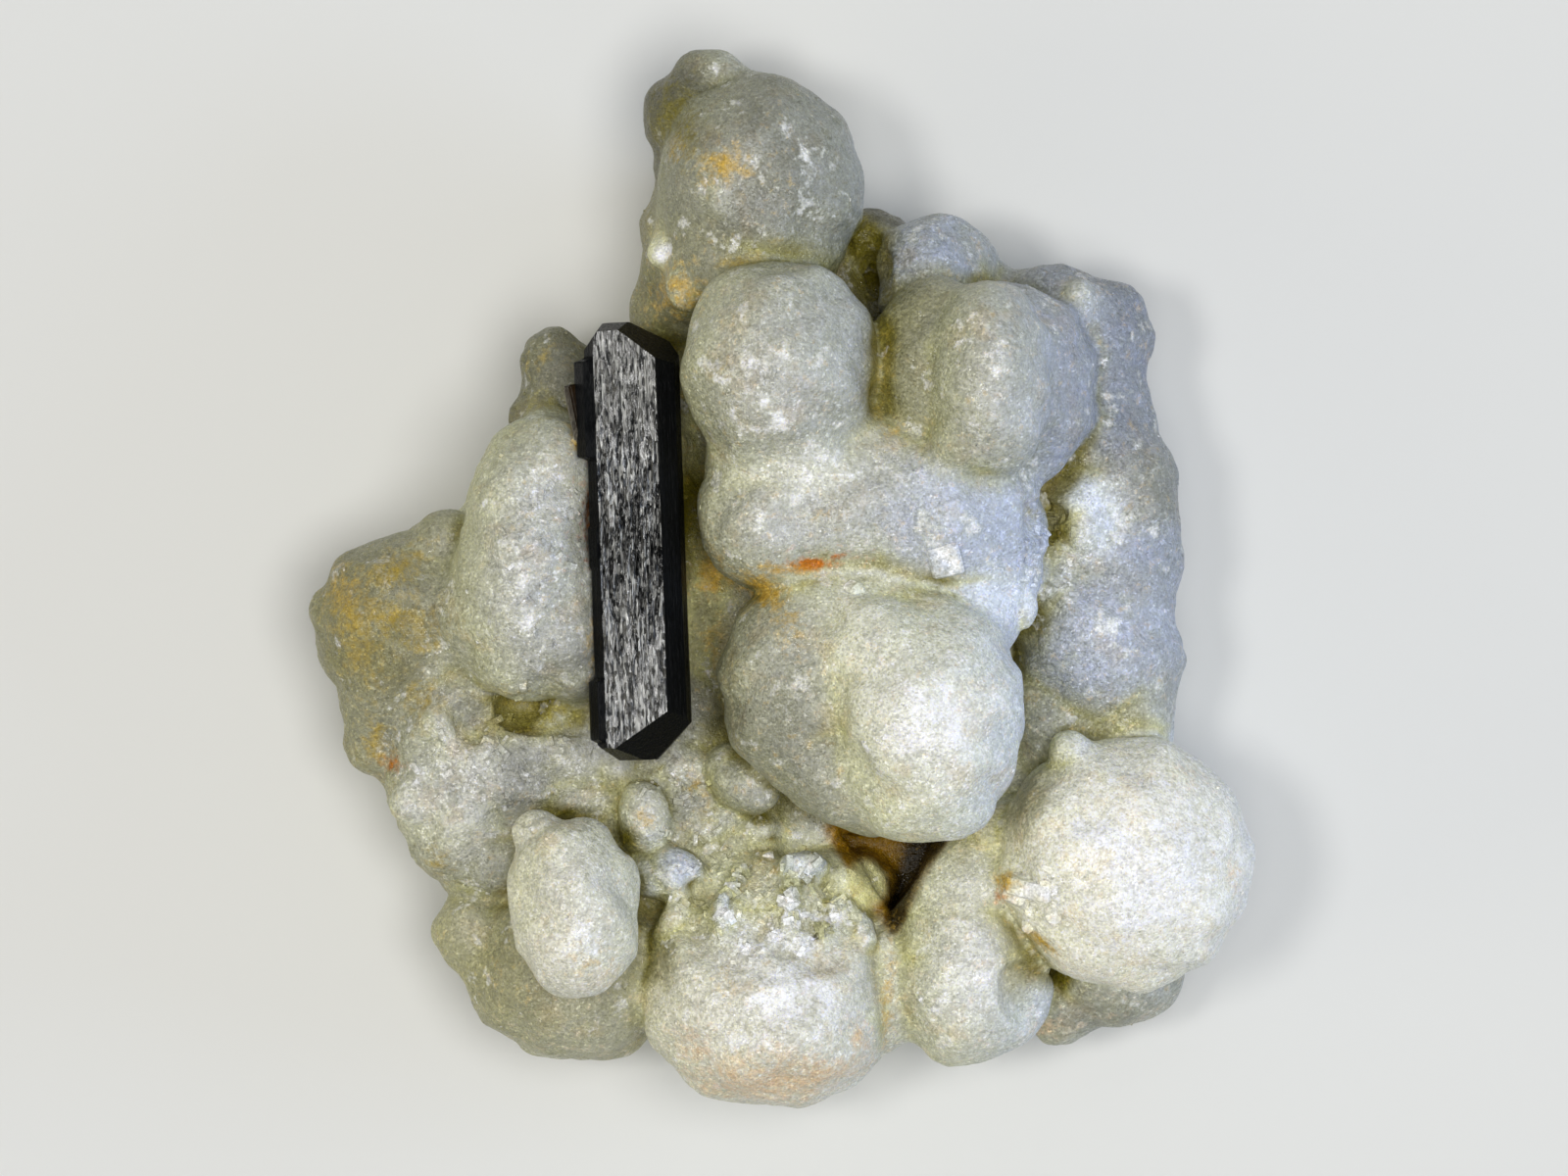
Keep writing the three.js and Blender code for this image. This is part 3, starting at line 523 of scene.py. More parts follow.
def gritAt(points):
    # how rough the skin is at each point, from the lumps that are near
    total = np.full(len(points), 1e-9)
    grit = np.zeros(len(points))
    for name, _, balls in lumps:
        for ball in balls.values():
            rel = points - np.array(ball[:3])
            near = nearTo(rel, ball, prehniteShape["reach"])
            weight = np.exp(-ballDistance(rel[near].T, ball)[0] / 0.6)
            total[near] += weight
            grit[near] += weight * prehniteShape["grit"][name]
    return np.clip(grit / total + roughPatchAt(points), 0, 1)


# Patches of rough, knobbly crystals: x, y, half sizes, and strength
roughPatches = {
    "bowlTop": (-1.0, -23.0, 7.0, 3.8, 1.0),
    "leftBigMiddle": (-17.6, 1.0, 4.0, 8.0, 0.4),
    "hollow": (18.6, 2.6, 3.0, 4.5, 0.8),
    "roundChips": (18.4, -22.6, 2.4, 2.6, 0.7),
    "terrace": (-20.0, -12.6, 5.0, 4.0, 0.6),
    "pool": (-6.0, -16.4, 5.0, 3.6, 0.5),
    "heartMiddle": (-2.2, 14.2, 2.0, 2.4, 0.4),
}


def awayFrom(points, x, y, across, along, turn=0):
    # the squared distance from a spot, which is 1 at its edge
    c, s = math.cos(math.radians(turn)), math.sin(math.radians(turn))
    dx, dy = points[:, 0] - x, points[:, 1] - y
    u, v = (c * dx + s * dy) / across, (c * dy - s * dx) / along
    return u * u + v * v


def roughPatchAt(points):
    total = np.zeros(len(points))
    for *spot, strength in roughPatches.values():
        total += strength * np.exp(-awayFrom(points, *spot) ** 2)
    return 0.45 * np.clip(total, 0, 1)


def dentAt(points, slope):
    # how deep the dents and basins are, on faces that look up
    depth = np.zeros(len(points))
    ragged = 0.3 * softNoise(points, 2.1, 31) + 0.15 * softNoise(points, 0.9, 33)
    for places, sharp in ((dents, False), (basins, True)):
        for *spot, deep in places.values():
            away = awayFrom(points, *spot)
            depth += deep * np.exp(-np.clip(away + ragged, 0, 9) ** 6 if sharp else -away)
    return depth * np.clip(slope[:, 2] * 2, 0, 1)


def growSkin(points):
    # draws the points onto the field, then lets the crystal skin stand out of it
    for _ in range(3):
        value, slope = massField(points)
        points = points - np.clip(value, -0.3, 0.3)[:, None] * slope
    _, slope = massField(points)
    relief = sum(high * softNoise(points, *at) for high, *at in prehniteShape["waves"])
    buds = -prehniteShape["budSink"]
    for high, *at in prehniteShape["buds"]:
        buds = buds + high * knobNoise(points, *at)
    relief += gritAt(points) * buds
    return points + (relief - dentAt(points, slope))[:, None] * slope


def cutAtTable(mesh):
    # flat where the specimen was broken off its rock
    work = bmesh.new()
    work.from_mesh(mesh)
    everything = work.verts[:] + work.edges[:] + work.faces[:]
    bmesh.ops.bisect_plane(work, geom=everything, plane_co=(0, 0, 0), plane_no=(0, 0, -1), clear_outer=True)
    rim = [edge for edge in work.edges if edge.is_boundary]
    bmesh.ops.triangle_fill(work, use_beauty=True, edges=rim, normal=(0, 0, -1))
    bmesh.ops.recalc_face_normals(work, faces=work.faces)
    work.to_mesh(mesh)
    work.free()


# Colours of the skin, as the light that each sends back
skinColours = {
    # pale for the tops and green for the flanks are painted light, with the tops lit paler
    "pale": (0.66, 0.66, 0.60),
    "green": (0.61, 0.62, 0.45),
    # yellow is painted light, on the flanks that face left and in the creases
    "paintedLightYellow": (0.56, 0.54, 0.20),
    "chalk": (0.88, 0.88, 0.86),
    "cream": (0.77, 0.74, 0.64),
    # blue is a tint of the right-hand balls and also painted light on the flanks that face right
    "blue": (0.56, 0.62, 0.76),
    # grey, olive and moss also paint the hollows and the dim balls, as painted shade
    "grey": (0.31, 0.31, 0.21),
    "olive": (0.34, 0.30, 0.07),
    "moss": (0.17, 0.145, 0.01),
    "ochre": (0.60, 0.40, 0.07),
    "rust": (0.50, 0.15, 0.0),
    "honey": (0.40, 0.30, 0.06),
    "peach": (0.76, 0.57, 0.36),
    # amber and dark paint the pocket: amber is partly its own brown and partly painted shade, and dark is
    # painted shadow at its far end
    "amber": (0.26, 0.14, 0.003),
    "dark": (0.03, 0.018, 0.002),
    "lump": (0.80, 0.77, 0.38),
    "broken": (0.55, 0.57, 0.47),
}
# How strongly each tint of a ball shows: evenly, and by two noises. Blue is partly painted light, mostly on
# the right-hand balls, and grey, olive and moss are partly painted shade on the dim and low balls.
tintShares = {
    "grey": (0.45, 1, 0.5, 0.4),
    "cream": (0.6, 0.8, 0.3, 0),
    "blue": (0.75, 0.85, 0, 0.3),
    "olive": (0.42, 1, 0.5, 0),
    "moss": (0.55, 1, 0, 0),
}
# Chalky frosting on the tops, partly the crystals' own frost and partly painted light on the brightest tops:
# x, y, half sizes, and strength
chalkSpots = {
    "front": (10.4, -9.6, 4.4, 4.2, 0.75),
    "frontUpper": (8.0, -5.6, 3.0, 2.0, 0.5),
    "frontSide": (14.6, -8.6, 1.4, 3.4, 0.6),
    "frontLow": (9.0, -14.6, 4.0, 1.6, 0.3),
    "round": (25.6, -20.4, 5.6, 5.6, 0.8),
    "roundLow": (24.0, -25.4, 3.6, 1.8, 0.5),
    "roundUpper": (27.0, -15.4, 3.0, 2.0, 0.5),
    "bowl": (0.4, -29.6, 5.2, 2.6, 0.9),
    "bowlLow": (-2.0, -32.4, 3.4, 1.6, 0.5),
    "bowlLedge": (0.8, -29.0, 4.6, 0.8, 0.9),
    "bowlTop": (0.8, -24.4, 5.4, 3.2, 1.0),
    "bowlUpper": (-1.4, -26.8, 4.6, 1.8, 0.4),
    "bowlShoulder": (5.0, -23.2, 1.6, 1.4, 0.6),
    "heart": (-1.6, 14.4, 2.8, 3.0, 0.45),
    "heartLow": (1.0, 10.4, 3.6, 2.2, 0.6),
    "twin": (15.0, 15.2, 2.4, 3.0, 0.4),
    "twinLow": (12.6, 10.6, 1.4, 1.6, 0.5),
    "barrel": (11.4, 5.6, 3.0, 3.2, 0.12),
    "barrelLeft": (-1.4, 4.6, 1.6, 1.4, 0.3),
    "leftBig": (-18.2, 0.6, 2.0, 4.0, 0.5),
    "pear": (14.0, -27.0, 2.4, 3.0, 0.5),
    "pearLow": (11.8, -30.4, 2.0, 1.4, 0.4),
    "egg": (-13.8, -24.6, 1.8, 3.0, 0.4),
    "eggTop": (-14.0, -18.0, 1.4, 0.7, 0.5),
    "crown": (1.6, 30.4, 3.0, 2.2, 0.3),
    "crownLow": (-1.0, 24.6, 3.4, 2.0, 0.3),
    "shoulderKnob": (-8.4, 23.5, 1.2, 1.2, 1.3),
    "edgePillow": (22.4, -4.0, 3.0, 1.6, 0.4),
    "edgeMiddle": (25.4, 2.6, 1.8, 2.6, 0.3),
    "terrace": (-22.4, -14.4, 2.2, 2.0, 0.25),
    "terraceTop": (-22.8, -12.6, 1.2, 1.6, 0.25),
    "farLeft": (-29.4, -1.4, 1.2, 1.4, 0.35),
    "doubleKnob": (-7.9, -20.6, 1.8, 1.2, 0.7),
    "bowlKnob": (-4.0, -23.4, 1.2, 2.4, 0.7),
    "poolKnob": (1.6, -20.4, 1.2, 1.2, 0.7),
    "roundLeft": (21.0, -17.2, 1.8, 1.2, 0.6),
    "roundInner": (22.4, -21.6, 2.6, 2.4, 0.4),
}
# Iron stains, and olive and moss patches that are painted shade in hollows, gaps and dim places: x, y, half
# sizes, turn in degrees, strength, and colour
stains = {
    "redStreak": (1.9, 1.2, 1.5, 0.42, 3, 1.9, "rust"),
    "redStreakSide": (0.2, 0.9, 2.2, 0.35, -4, 0.9, "ochre"),
    "redStreakEnd": (4.2, 1.8, 1.0, 0.25, 6, 0.8, "rust"),
    "ochrePatch": (-1.5, -0.6, 1.9, 0.9, -30, 1.3, "ochre"),
    "ochreLow": (0.4, -3.0, 0.9, 1.6, 20, 0.6, "ochre"),
    "ochreSpot": (2.9, 4.8, 0.7, 0.4, 30, 0.55, "ochre"),
    "farLeftBand": (-30.6, -2.6, 1.8, 4.6, 20, 0.9, "honey"),
    "farLeftBandLow": (-27.6, -2.6, 3.4, 1.2, -8, 0.95, "honey"),
    "farLeftTop": (-27.6, 0.8, 2.6, 1.4, 25, 0.85, "honey"),
    "farLeftRing": (-31.0, -0.4, 1.0, 2.0, 30, 0.7, "ochre"),
    "leftHollowDeep": (-17.0, -9.4, 3.8, 1.3, -5, 0.9, "olive"),
    "farLeftMiddle": (-25.4, -4.0, 1.6, 1.2, 0, 0.7, "honey"),
    "leftBump": (-28.9, -11.6, 1.2, 1.8, 0, 0.8, "honey"),
    "leftBumpSpot": (-27.9, -13.0, 0.7, 0.6, 0, 1.1, "rust"),
    "leftHollow": (-18.6, -8.2, 2.6, 0.8, -6, 0.6, "honey"),
    "terraceStain": (-25.6, -8.2, 1.3, 1.8, 0, 0.6, "honey"),
    "terraceStainLow": (-24.6, -20.0, 1.0, 1.4, 20, 0.6, "honey"),
    "crownStain": (-4.3, 29.5, 1.7, 1.2, 10, 0.95, "ochre"),
    "crownStainSide": (-2.4, 29.2, 1.0, 0.8, 0, 0.5, "ochre"),
    "crownStainLow": (-3.0, 22.6, 2.0, 0.5, 10, 0.6, "honey"),
    "crownBackStain": (-7.4, 32.6, 1.8, 3.0, 0, 1.0, "moss"),
    "crownBackSpot": (-7.6, 30.6, 0.6, 0.8, 0, 0.7, "ochre"),
    "shoulderStain": (-7.5, 20.6, 1.8, 1.8, 0, 0.75, "ochre"),
    "bowlLow": (0.4, -35.2, 8.4, 2.0, 3, 0.85, "peach"),
    "hollowStain": (18.5, 5.0, 1.5, 0.8, -10, 0.9, "olive"),
    "saddleGapStain": (6.6, 22.4, 1.3, 3.0, 15, 1.1, "moss"),
    "pocketTip": (7.7, -24.4, 0.6, 0.5, 0, 1.0, "ochre"),
    "bowlLeftLow": (-6.2, -33.0, 2.2, 1.2, -35, 0.6, "peach"),
    "bowlRight": (5.6, -32.4, 1.0, 1.8, 20, 0.65, "peach"),
    "bowlPear": (7.5, -29.6, 0.45, 3.6, -4, 0.75, "ochre"),
    "bowlSpot": (-4.0, -28.6, 0.8, 0.8, 0, 0.5, "ochre"),
    "roundSpot": (15.8, -21.2, 0.7, 0.7, 0, 1.2, "ochre"),
    "roundSpotLow": (15.5, -22.2, 0.5, 0.6, 0, 0.9, "rust"),
    "roundStripe": (18.2, -25.4, 1.6, 0.45, -38, 1.1, "ochre"),
    "roundTop": (28.8, -13.8, 1.8, 0.8, -30, 0.4, "peach"),
    "roundRight": (32.0, -20.6, 0.6, 1.4, 0, 0.4, "peach"),
    "behindKnobStain": (18.6, -32.0, 1.6, 0.7, 20, 0.8, "peach"),
    "crystalLeft": (-13.3, 4.6, 0.7, 3.0, 2, 1.1, "rust"),
    "crystalLeftHigh": (-14.3, 10.6, 0.8, 1.4, 0, 1.1, "ochre"),
    "crystalLeftLow": (-13.0, -5.0, 0.6, 2.4, 2, 0.7, "ochre"),
    "twinLeft": (7.0, 14.4, 0.8, 3.6, -8, 0.45, "honey"),
    "twinBelow": (7.6, 10.7, 0.9, 0.6, 0, 0.7, "ochre"),
    "fingerTop": (-17.5, 15.6, 1.2, 0.7, 20, 0.45, "honey"),
    "fingerLow": (-16.6, 12.2, 2.6, 0.9, 0, 0.7, "olive"),
    "crevice": (-5.2, 0.4, 1.1, 1.4, 0, 1.1, "ochre"),
    "poolStain": (-9.6, -16.8, 0.7, 0.8, 0, 0.8, "ochre"),
    "poolStainLow": (-6.2, -14.6, 0.7, 0.9, 30, 0.6, "ochre"),
    "poolStainRight": (-0.6, -20.3, 0.5, 0.7, 0, 0.7, "ochre"),
    "eggStain": (-13.6, -26.4, 1.6, 1.0, 0, 0.4, "ochre"),
    "stripStain": (-5.0, -4.0, 0.8, 2.0, 0, 0.5, "ochre"),
    "frontSpot": (3.4, -11.4, 0.35, 0.18, 20, 0.6, "amber"),
}


# How far the colour of a ball spreads into the next, and how wide the crease between them is
skinBlend = {"spread": 0.6, "reach": 4, "crease": 0.55}


def skinWeights(points):
    # how much each tint has at each point, how light the balls are, and how deep in a crease it lies; the
    # tints and the lightness are partly painted light and shade
    blend = skinBlend
    totals, light = np.full((2, len(points)), 1e-9)
    tints = {name: np.zeros(len(points)) for name in tintShares}
    nearest, second = np.full((2, len(points)), 9.0)
    for _, _, balls in lumps:
        for ball in balls.values():
            rel = points - np.array(ball[:3])
            near = nearTo(rel, ball, blend["reach"])
            distance, _ = ballDistance(rel[near].T, ball)
            weight = np.exp(-distance / blend["spread"])
            totals[near] += weight
            light[near] += weight * (ball[7] if len(ball) > 7 else 1)
            for tint in ball[8].split() if len(ball) > 8 else ():
                tints[tint][near] += weight
            second[near] = np.minimum(second[near], np.maximum(nearest[near], distance))
            nearest[near] = np.minimum(nearest[near], distance)
    crease = np.exp(-np.clip(second - nearest, 0, None) / blend["crease"])
    return {name: tint / totals for name, tint in tints.items()}, light / totals, crease


def shadeAt(points, slope):
    # how far each point lies in a hollow, from 0 in the open to 1 deep down
    shade = np.zeros(len(points))
    for reach, share in ((1.2, 0.3), (3.0, 0.35), (6.5, 0.35)):
        value, _ = massField(points + slope * reach)
        shade += share * np.clip(1 - value / reach, 0, 1.3)
    return np.clip(shade, 0, 1)


def mixTo(colour, name, weight):
    target = np.array(skinColours[name])
    weight = np.clip(weight, 0, 1)[:, None]
    return colour * (1 - weight) + target * weight


def skinColour(points):
    # the colour of the skin at each point, with painted light and shade mixed in, its stains, and how chalky
    # it is
    _, slope = massField(points)
    x, y, z = points.T
    tints, light, crease = skinWeights(points)
    shade = shadeAt(points, slope)
    cloud = softNoise(points, 5.5, 21)
    patch = softNoise(points, 2.2, 23)
    up = np.clip(slope[:, 2], 0, 1)
    # painted light: the skin is green on the flanks and paler on the tops, where more light falls
    colour = np.tile(skinColours["green"], (len(points), 1))
    colour = mixTo(colour, "pale", 0.05 + 0.95 * up ** 1.5 + 0.2 * cloud)
    # painted light: a yellow tint on the flanks that face left and a blue one on those that face right, bluer
    # towards the right-hand side
    side = slope[:, 0] * (1 - 0.6 * up)
    colour = mixTo(colour, "paintedLightYellow", 0.55 * np.clip(-side, 0, 1))
    colour = mixTo(colour, "blue", 0.8 * np.clip(side, 0, 1) * np.clip((x + 4) / 12, 0.2, 1))
    for name, (share, even, cloudy, patchy) in tintShares.items():
        colour = mixTo(colour, name, share * tints[name] * (even + cloudy * cloud + patchy * patch))
    # painted light: yellow-green in the creases between balls, for light that scatters through the thin
    # prehnite there
    colour = mixTo(colour, "paintedLightYellow", 0.7 * crease * np.clip(shade * 2.4 - 0.25, 0, 1))
    # each ball's lightness, partly its own tone and partly painted light and shade
    colour = np.clip(colour * light[:, None] * np.array((0.985, 0.99, 0.985)), 0, 0.9)
    # painted shade: olive in the hollows, and moss deeper down
    colour = mixTo(colour, "olive", 0.8 * np.clip(shade - 0.45, 0, 1))
    colour = mixTo(colour, "moss", 2.2 * np.clip(shade - 0.62, 0, 1) * (1 + 0.5 * patch))
    # chalky frost on what looks up, partly the crystals' own and partly painted light on the tops; it is
    # weaker in the hollows as painted shade
    chalk = 0.12 * up
    for *spot, strength in chalkSpots.values():
        chalk = np.maximum(chalk, strength * np.exp(-awayFrom(points, *spot)) * up)
    chalk *= 1 - 0.6 * np.clip(shade, 0, 1)
    facing = np.clip(slope[:, 2] * 2 + 0.25, 0, 1)  # stains lie on what looks up
    stain = np.zeros(len(points))
    stainColour = np.tile(skinColours["ochre"], (len(points), 1))
    for *spot, strength, name in stains.values():
        here = strength * np.exp(-awayFrom(points, *spot)) * facing
        stainColour = mixTo(stainColour, name, here / (here + stain + 1e-6))
        stain = np.maximum(stain, here)
    # the pocket is painted amber-brown below a height, partly its own brown and partly painted shade, and
    # near black at its right end as painted shadow, with a pale lump in it
    inside = np.clip((0.65 - pocketDistance(x, y, z)[0]) / 0.35, 0, 1)
    inside *= np.clip((pocket["brownAndShadeBelow"] - z) / 1.2, 0, 1)
    colour = mixTo(colour, "amber", inside)
    colour = mixTo(colour, "dark", inside * np.clip(x - y * 0.3 - 13.9, 0, 1))
    colour = mixTo(colour, "lump", np.exp(-awayFrom(points, *pocket["lump"][:4]) ** 4) * (z > 11.5))
    colour = mixTo(colour, "broken", (z < 0.02) * 1.0)
    return colour, stainColour, stain * (1 - inside), chalk - inside


# What the skin stores in its mesh, with the count of numbers in each value
skinLayers = {"skin": 4, "stainColour": 4, "stain": 1, "chalk": 1, "grit": 1}


def layerData(mesh, name, make=False):
    # the stored values of one layer, and the name of the part to read or write
    wide = skinLayers[name] == 4
    if make:
        mesh.attributes.new(name, "FLOAT_COLOR" if wide else "FLOAT", "POINT")
    return mesh.attributes[name].data, "color" if wide else "value"


def addSkin(obj, points, grit, whiter=0):
    colour, stainColour, stain, chalk = skinColour(points)
    ones = np.ones(len(points))
    rows = (np.c_[colour, ones], np.c_[stainColour, ones], stain, chalk + whiter, grit)
    for name, values in zip(skinLayers, rows):
        data, part = layerData(obj.data, name, make=True)
        data.foreach_set(part, values.ravel())


def copySkin(source, obj, places, whiter):
    # the stored skin of one piece, taken over at these points by another
    for name, width in skinLayers.items():
        data, part = layerData(source.data, name)
        values = np.empty(len(data) * width)
        data.foreach_get(part, values)
        values = values.reshape(-1, width)[places]
        if name == "chalk":
            values = values + whiter[:, None]
        data, part = layerData(obj.data, name, make=True)
        data.foreach_set(part, values.ravel())


def readPoints(mesh, part="co"):
    flat = np.empty(len(mesh.vertices) * 3)
    mesh.vertices.foreach_get(part, flat)
    return flat.reshape(-1, 3)


def addObject(name, data):
    obj = bpy.data.objects.new(name, data)
    bpy.context.collection.objects.link(obj)
    return obj


def turnOutwards(mesh):
    work = bmesh.new()
    work.from_mesh(mesh)
    bmesh.ops.recalc_face_normals(work, faces=work.faces)
    work.to_mesh(mesh)
    work.free()


def makePrehnite():
    shape = prehniteShape
    lumps.append(("knobs", shape["fillets"]["knobs"], standKnobs()))
    values = gridField()
    closePinches(values)
    points, quads = largestPart(*surfaceNet(values, shape["low"], shape["cell"]))
    points = growSkin(points)
    mesh = bpy.data.meshes.new("prehnite_cluster_skin")
    mesh.from_pydata(points.tolist(), [], quads.tolist())
    cutAtTable(mesh)
    obj = addObject("prehnite_cluster_skin", mesh)
    points = readPoints(mesh)
    addSkin(obj, points, gritAt(points))
    mesh.vertices.foreach_set("co", (points * mm).ravel())
    mesh.shade_smooth()
    print("prehnite:", len(mesh.vertices), "points")
    return obj


# Crystal blades on the skin, with half sizes in mm: small ones all over, large ones where it is rough
blades = {
    "small": 700,
    "smallSize": (0.12, 0.24),
    "large": 540,
    "largeSize": (0.26, 0.6),
    "thin": (0.3, 0.6),  # thickness against the width
    "standOut": (0.1, 0.5),  # how much of a blade shows
    "narrow": 0.72,  # the tip against the foot
    "lean": 0.5,
    "whiter": (-0.1, 0.4),
    "seed": 7,
}


def makeBlades(skin):
    size = blades
    random = np.random.default_rng(size["seed"])
    points = readPoints(skin.data) / mm
    normals = readPoints(skin.data, "normal")
    up = np.clip(normals[:, 2], 0, 1) * (points[:, 2] > 2) * (pocketDistance(*points.T)[0] > 0.3)
    rough = roughPatchAt(points) + 0.3 * np.clip(gritAt(points) - 0.45, 0, 1)
    chosen, half = [], []
    for kind, chance in (("small", up * (0.1 + rough)), ("large", up * rough ** 2)):
        chosen.append(random.choice(len(points), size[kind], replace=False, p=chance / chance.sum()))
        half.append(random.uniform(*size[kind + "Size"], size[kind]))
    chosen, half = np.concatenate(chosen), np.concatenate(half)
    count = len(chosen)
    upright = normals[chosen] + random.uniform(-1, 1, (count, 3)) * size["lean"]
    upright /= np.linalg.norm(upright, axis=1)[:, None]
    wide = np.cross(upright, random.normal(size=(count, 3)))
    wide /= np.linalg.norm(wide, axis=1)[:, None]
    thin = np.cross(upright, wide)
    thickness = half * random.uniform(*size["thin"], count)
    centre = points[chosen] + upright * (half * random.uniform(*size["standOut"], count) - half)[:, None]
    corners = np.empty((count, 8, 3))
    for n, (u, v, w) in enumerate(np.ndindex(2, 2, 2)):
        narrow = size["narrow"] if w else 1
        corners[:, n] = centre + wide * ((2 * u - 1) * narrow * half)[:, None]
        flat = thin * ((2 * v - 1) * narrow * thickness)[:, None]
        corners[:, n] += flat + upright * ((2 * w - 1) * half)[:, None]
    sides = ((0, 1, 3, 2), (4, 6, 7, 5), (0, 4, 5, 1), (2, 3, 7, 6), (0, 2, 6, 4), (1, 5, 7, 3))
    faces = (np.arange(count)[:, None, None] * 8 + np.array(sides)).reshape(-1, 4)
    mesh = bpy.data.meshes.new("prehnite_blades")
    mesh.from_pydata((corners.reshape(-1, 3) * mm).tolist(), [], faces.tolist())
    turnOutwards(mesh)
    obj = addObject("prehnite_blades", mesh)
    copySkin(skin, obj, np.repeat(chosen, 8), np.repeat(random.uniform(*size["whiter"], count), 8))
    print("blades:", count)
    return obj


def placeAt(at, turns):
    turned = Euler([math.radians(turn) for turn in turns], "XYZ").to_matrix().to_4x4()
    return Matrix.Translation(at) @ turned


# Small flat crystals on the prehnite: centre, sizes, and turns about x, y and z in degrees
tablets = {
    "block": (11.5, 1.6, 26.9, 2.3, 2.5, 1.0, 24, -6, 12),
    "chip": (5.1, -0.6, 26.7, 1.1, 1.2, 1.4, 30, 20, 40),
    "flake": (17.6, -21.6, 23.8, 3.6, 1.3, 1.6, 24, -30, -14),
    "flakeSide": (16.6, -22.4, 22.5, 2.0, 0.9, 1.4, -10, -34, -22),
    "flakeLow": (19.1, -23.5, 24.4, 1.0, 1.1, 1.2, 40, -20, 25),
    "flakeLowest": (17.4, -24.3, 21.6, 0.8, 0.8, 1.2, 30, -30, 40),
    "hollowBlade": (17.9, 5.6, 16.6, 1.9, 1.5, 1.8, 30, 25, 30),
    "hollowBladeLow": (20.2, 0.2, 16.4, 1.6, 1.2, 1.8, -25, 20, 60),
}


def makeTablets():
    work = bmesh.new()
    for x, y, z, wide, long, deep, *turns in tablets.values():
        box = bmesh.ops.create_cube(work, size=1)["verts"]
        place = placeAt((x, y, z), turns) @ Matrix.Diagonal((wide, long, deep, 1))
        bmesh.ops.transform(work, matrix=place, verts=box)
    bmesh.ops.bevel(work, geom=work.edges[:], offset=0.2, segments=1, affect="EDGES")
    bmesh.ops.subdivide_edges(work, edges=work.edges[:], cuts=3, use_grid_fill=True)
    mesh = bpy.data.meshes.new("prehnite_tablets")
    work.to_mesh(mesh)
    work.free()
    obj = addObject("prehnite_tablets", mesh)
    points = readPoints(mesh)
    addSkin(obj, points, np.full(len(points), 0.1), 0.4)
    mesh.vertices.foreach_set("co", (points * mm).ravel())
    print("tablets:", len(tablets))
    return obj


# Epidote: a black prism in its own frame, its length along y and its bright face up
epidoteShape = {
    "at": (-10.5, 2.9, 22.2),
    "turns": (0, -6, 2),
    "section": (
        (-2.1, 2.7), (2.3, 2.8), (3.5, 1.2), (3.6, -0.8),
        (2.2, -3.1), (-1.7, -3.1), (-3.1, -0.9), (-2.9, 1.4),
    ),
    "halfLength": 15.5,
    "fine": (0.05, 0.14),  # spacing of the points on the bright face and on the others
    "stations": 240,  # along the crystal
    "capRings": 14,
    # the ledges on the left flank: from, to, and how far they stand out
    "ledges": ((5.8, 13.0, 0.75), (-14.2, -9.6, 0.5), (-2.0, 1.2, 0.15)),
    "streaks": ((0.2, 0.022), (0.5, 0.03), (1.3, 0.04)),  # wave and depth of the streaks
    "pitCount": 230,
    # the faces that end the crystal: a point on each, and the way it looks
    "tipFaces": (
        ((-1.1, -14.3, 2.75), (0.46, -0.72, 0.53)),
        ((-1.5, -14.6, 2.7), (-0.15, -0.96, 0.22)),
        ((2.6, -14.0, 0), (0.71, -0.7, -0.05)),
        ((-2.8, -14.5, 0), (-0.64, -0.77, 0.05)),
        ((1.1, 13.8, 2.8), (0.6, 0.76, 0.25)),
        ((-0.7, 14.9, 2.7), (-0.05, 0.97, 0.2)),
        ((-2.5, 14.1, 1.5), (-0.8, 0.58, 0.1)),
        ((0, 14.6, -1.6), (0.05, 0.82, -0.56)),
    ),
}


def sectionLoop():
    # points round the section, closely spaced, with the way that each looks
    corners = np.array(epidoteShape["section"])
    points, normals = [], []
    for number, (a, b) in enumerate(zip(corners, np.roll(corners, -1, axis=0))):
        length = np.linalg.norm(b - a)
        count = max(2, round(length / epidoteShape["fine"][min(number, 1)]))
        along = (b - a) / length
        for n in range(count):
            points.append(a + (b - a) * n / count)
            normals.append((-along[1], along[0]))
    return np.array(points), np.array(normals)


def tipReach(x, z, sign):
    # where the crystal ends above a point of its section, at one end
    reach = np.full(np.shape(x), epidoteShape["halfLength"])
    for at, out in epidoteShape["tipFaces"]:
        if out[1] * sign > 0:
            y = at[1] - (out[0] * (x - at[0]) + out[2] * (z - at[2])) / out[1]
            reach = np.minimum(reach, sign * y)
    return sign * reach


def epidoteRelief(places, faceUp):
    # streaks along the crystal and lens-shaped pits in the bright face
    relief = np.zeros(len(places))
    drawn = places * np.array((1, 0.03, 1))
    for number, (wave, deep) in enumerate(epidoteShape["streaks"]):
        relief += deep * softNoise(drawn + 0.02 * places[:, [1]] * (1, 0, 0.4), wave, 51 + number)
    rng = np.random.default_rng(7)
    for _ in range(epidoteShape["pitCount"]):
        x, y = rng.uniform(-2.2, 2.4), rng.normal(0.0, 3.6)
        wide, long, deep = rng.uniform(0.06, 0.15), rng.uniform(0.35, 1.3), rng.uniform(0.1, 0.3)
        u = (places[:, 0] - x - 0.06 * (places[:, 1] - y)) / wide
        v = (places[:, 1] - y) / long
        relief -= deep * faceUp * np.exp(-(u * u + v * v) ** 2)
    return relief


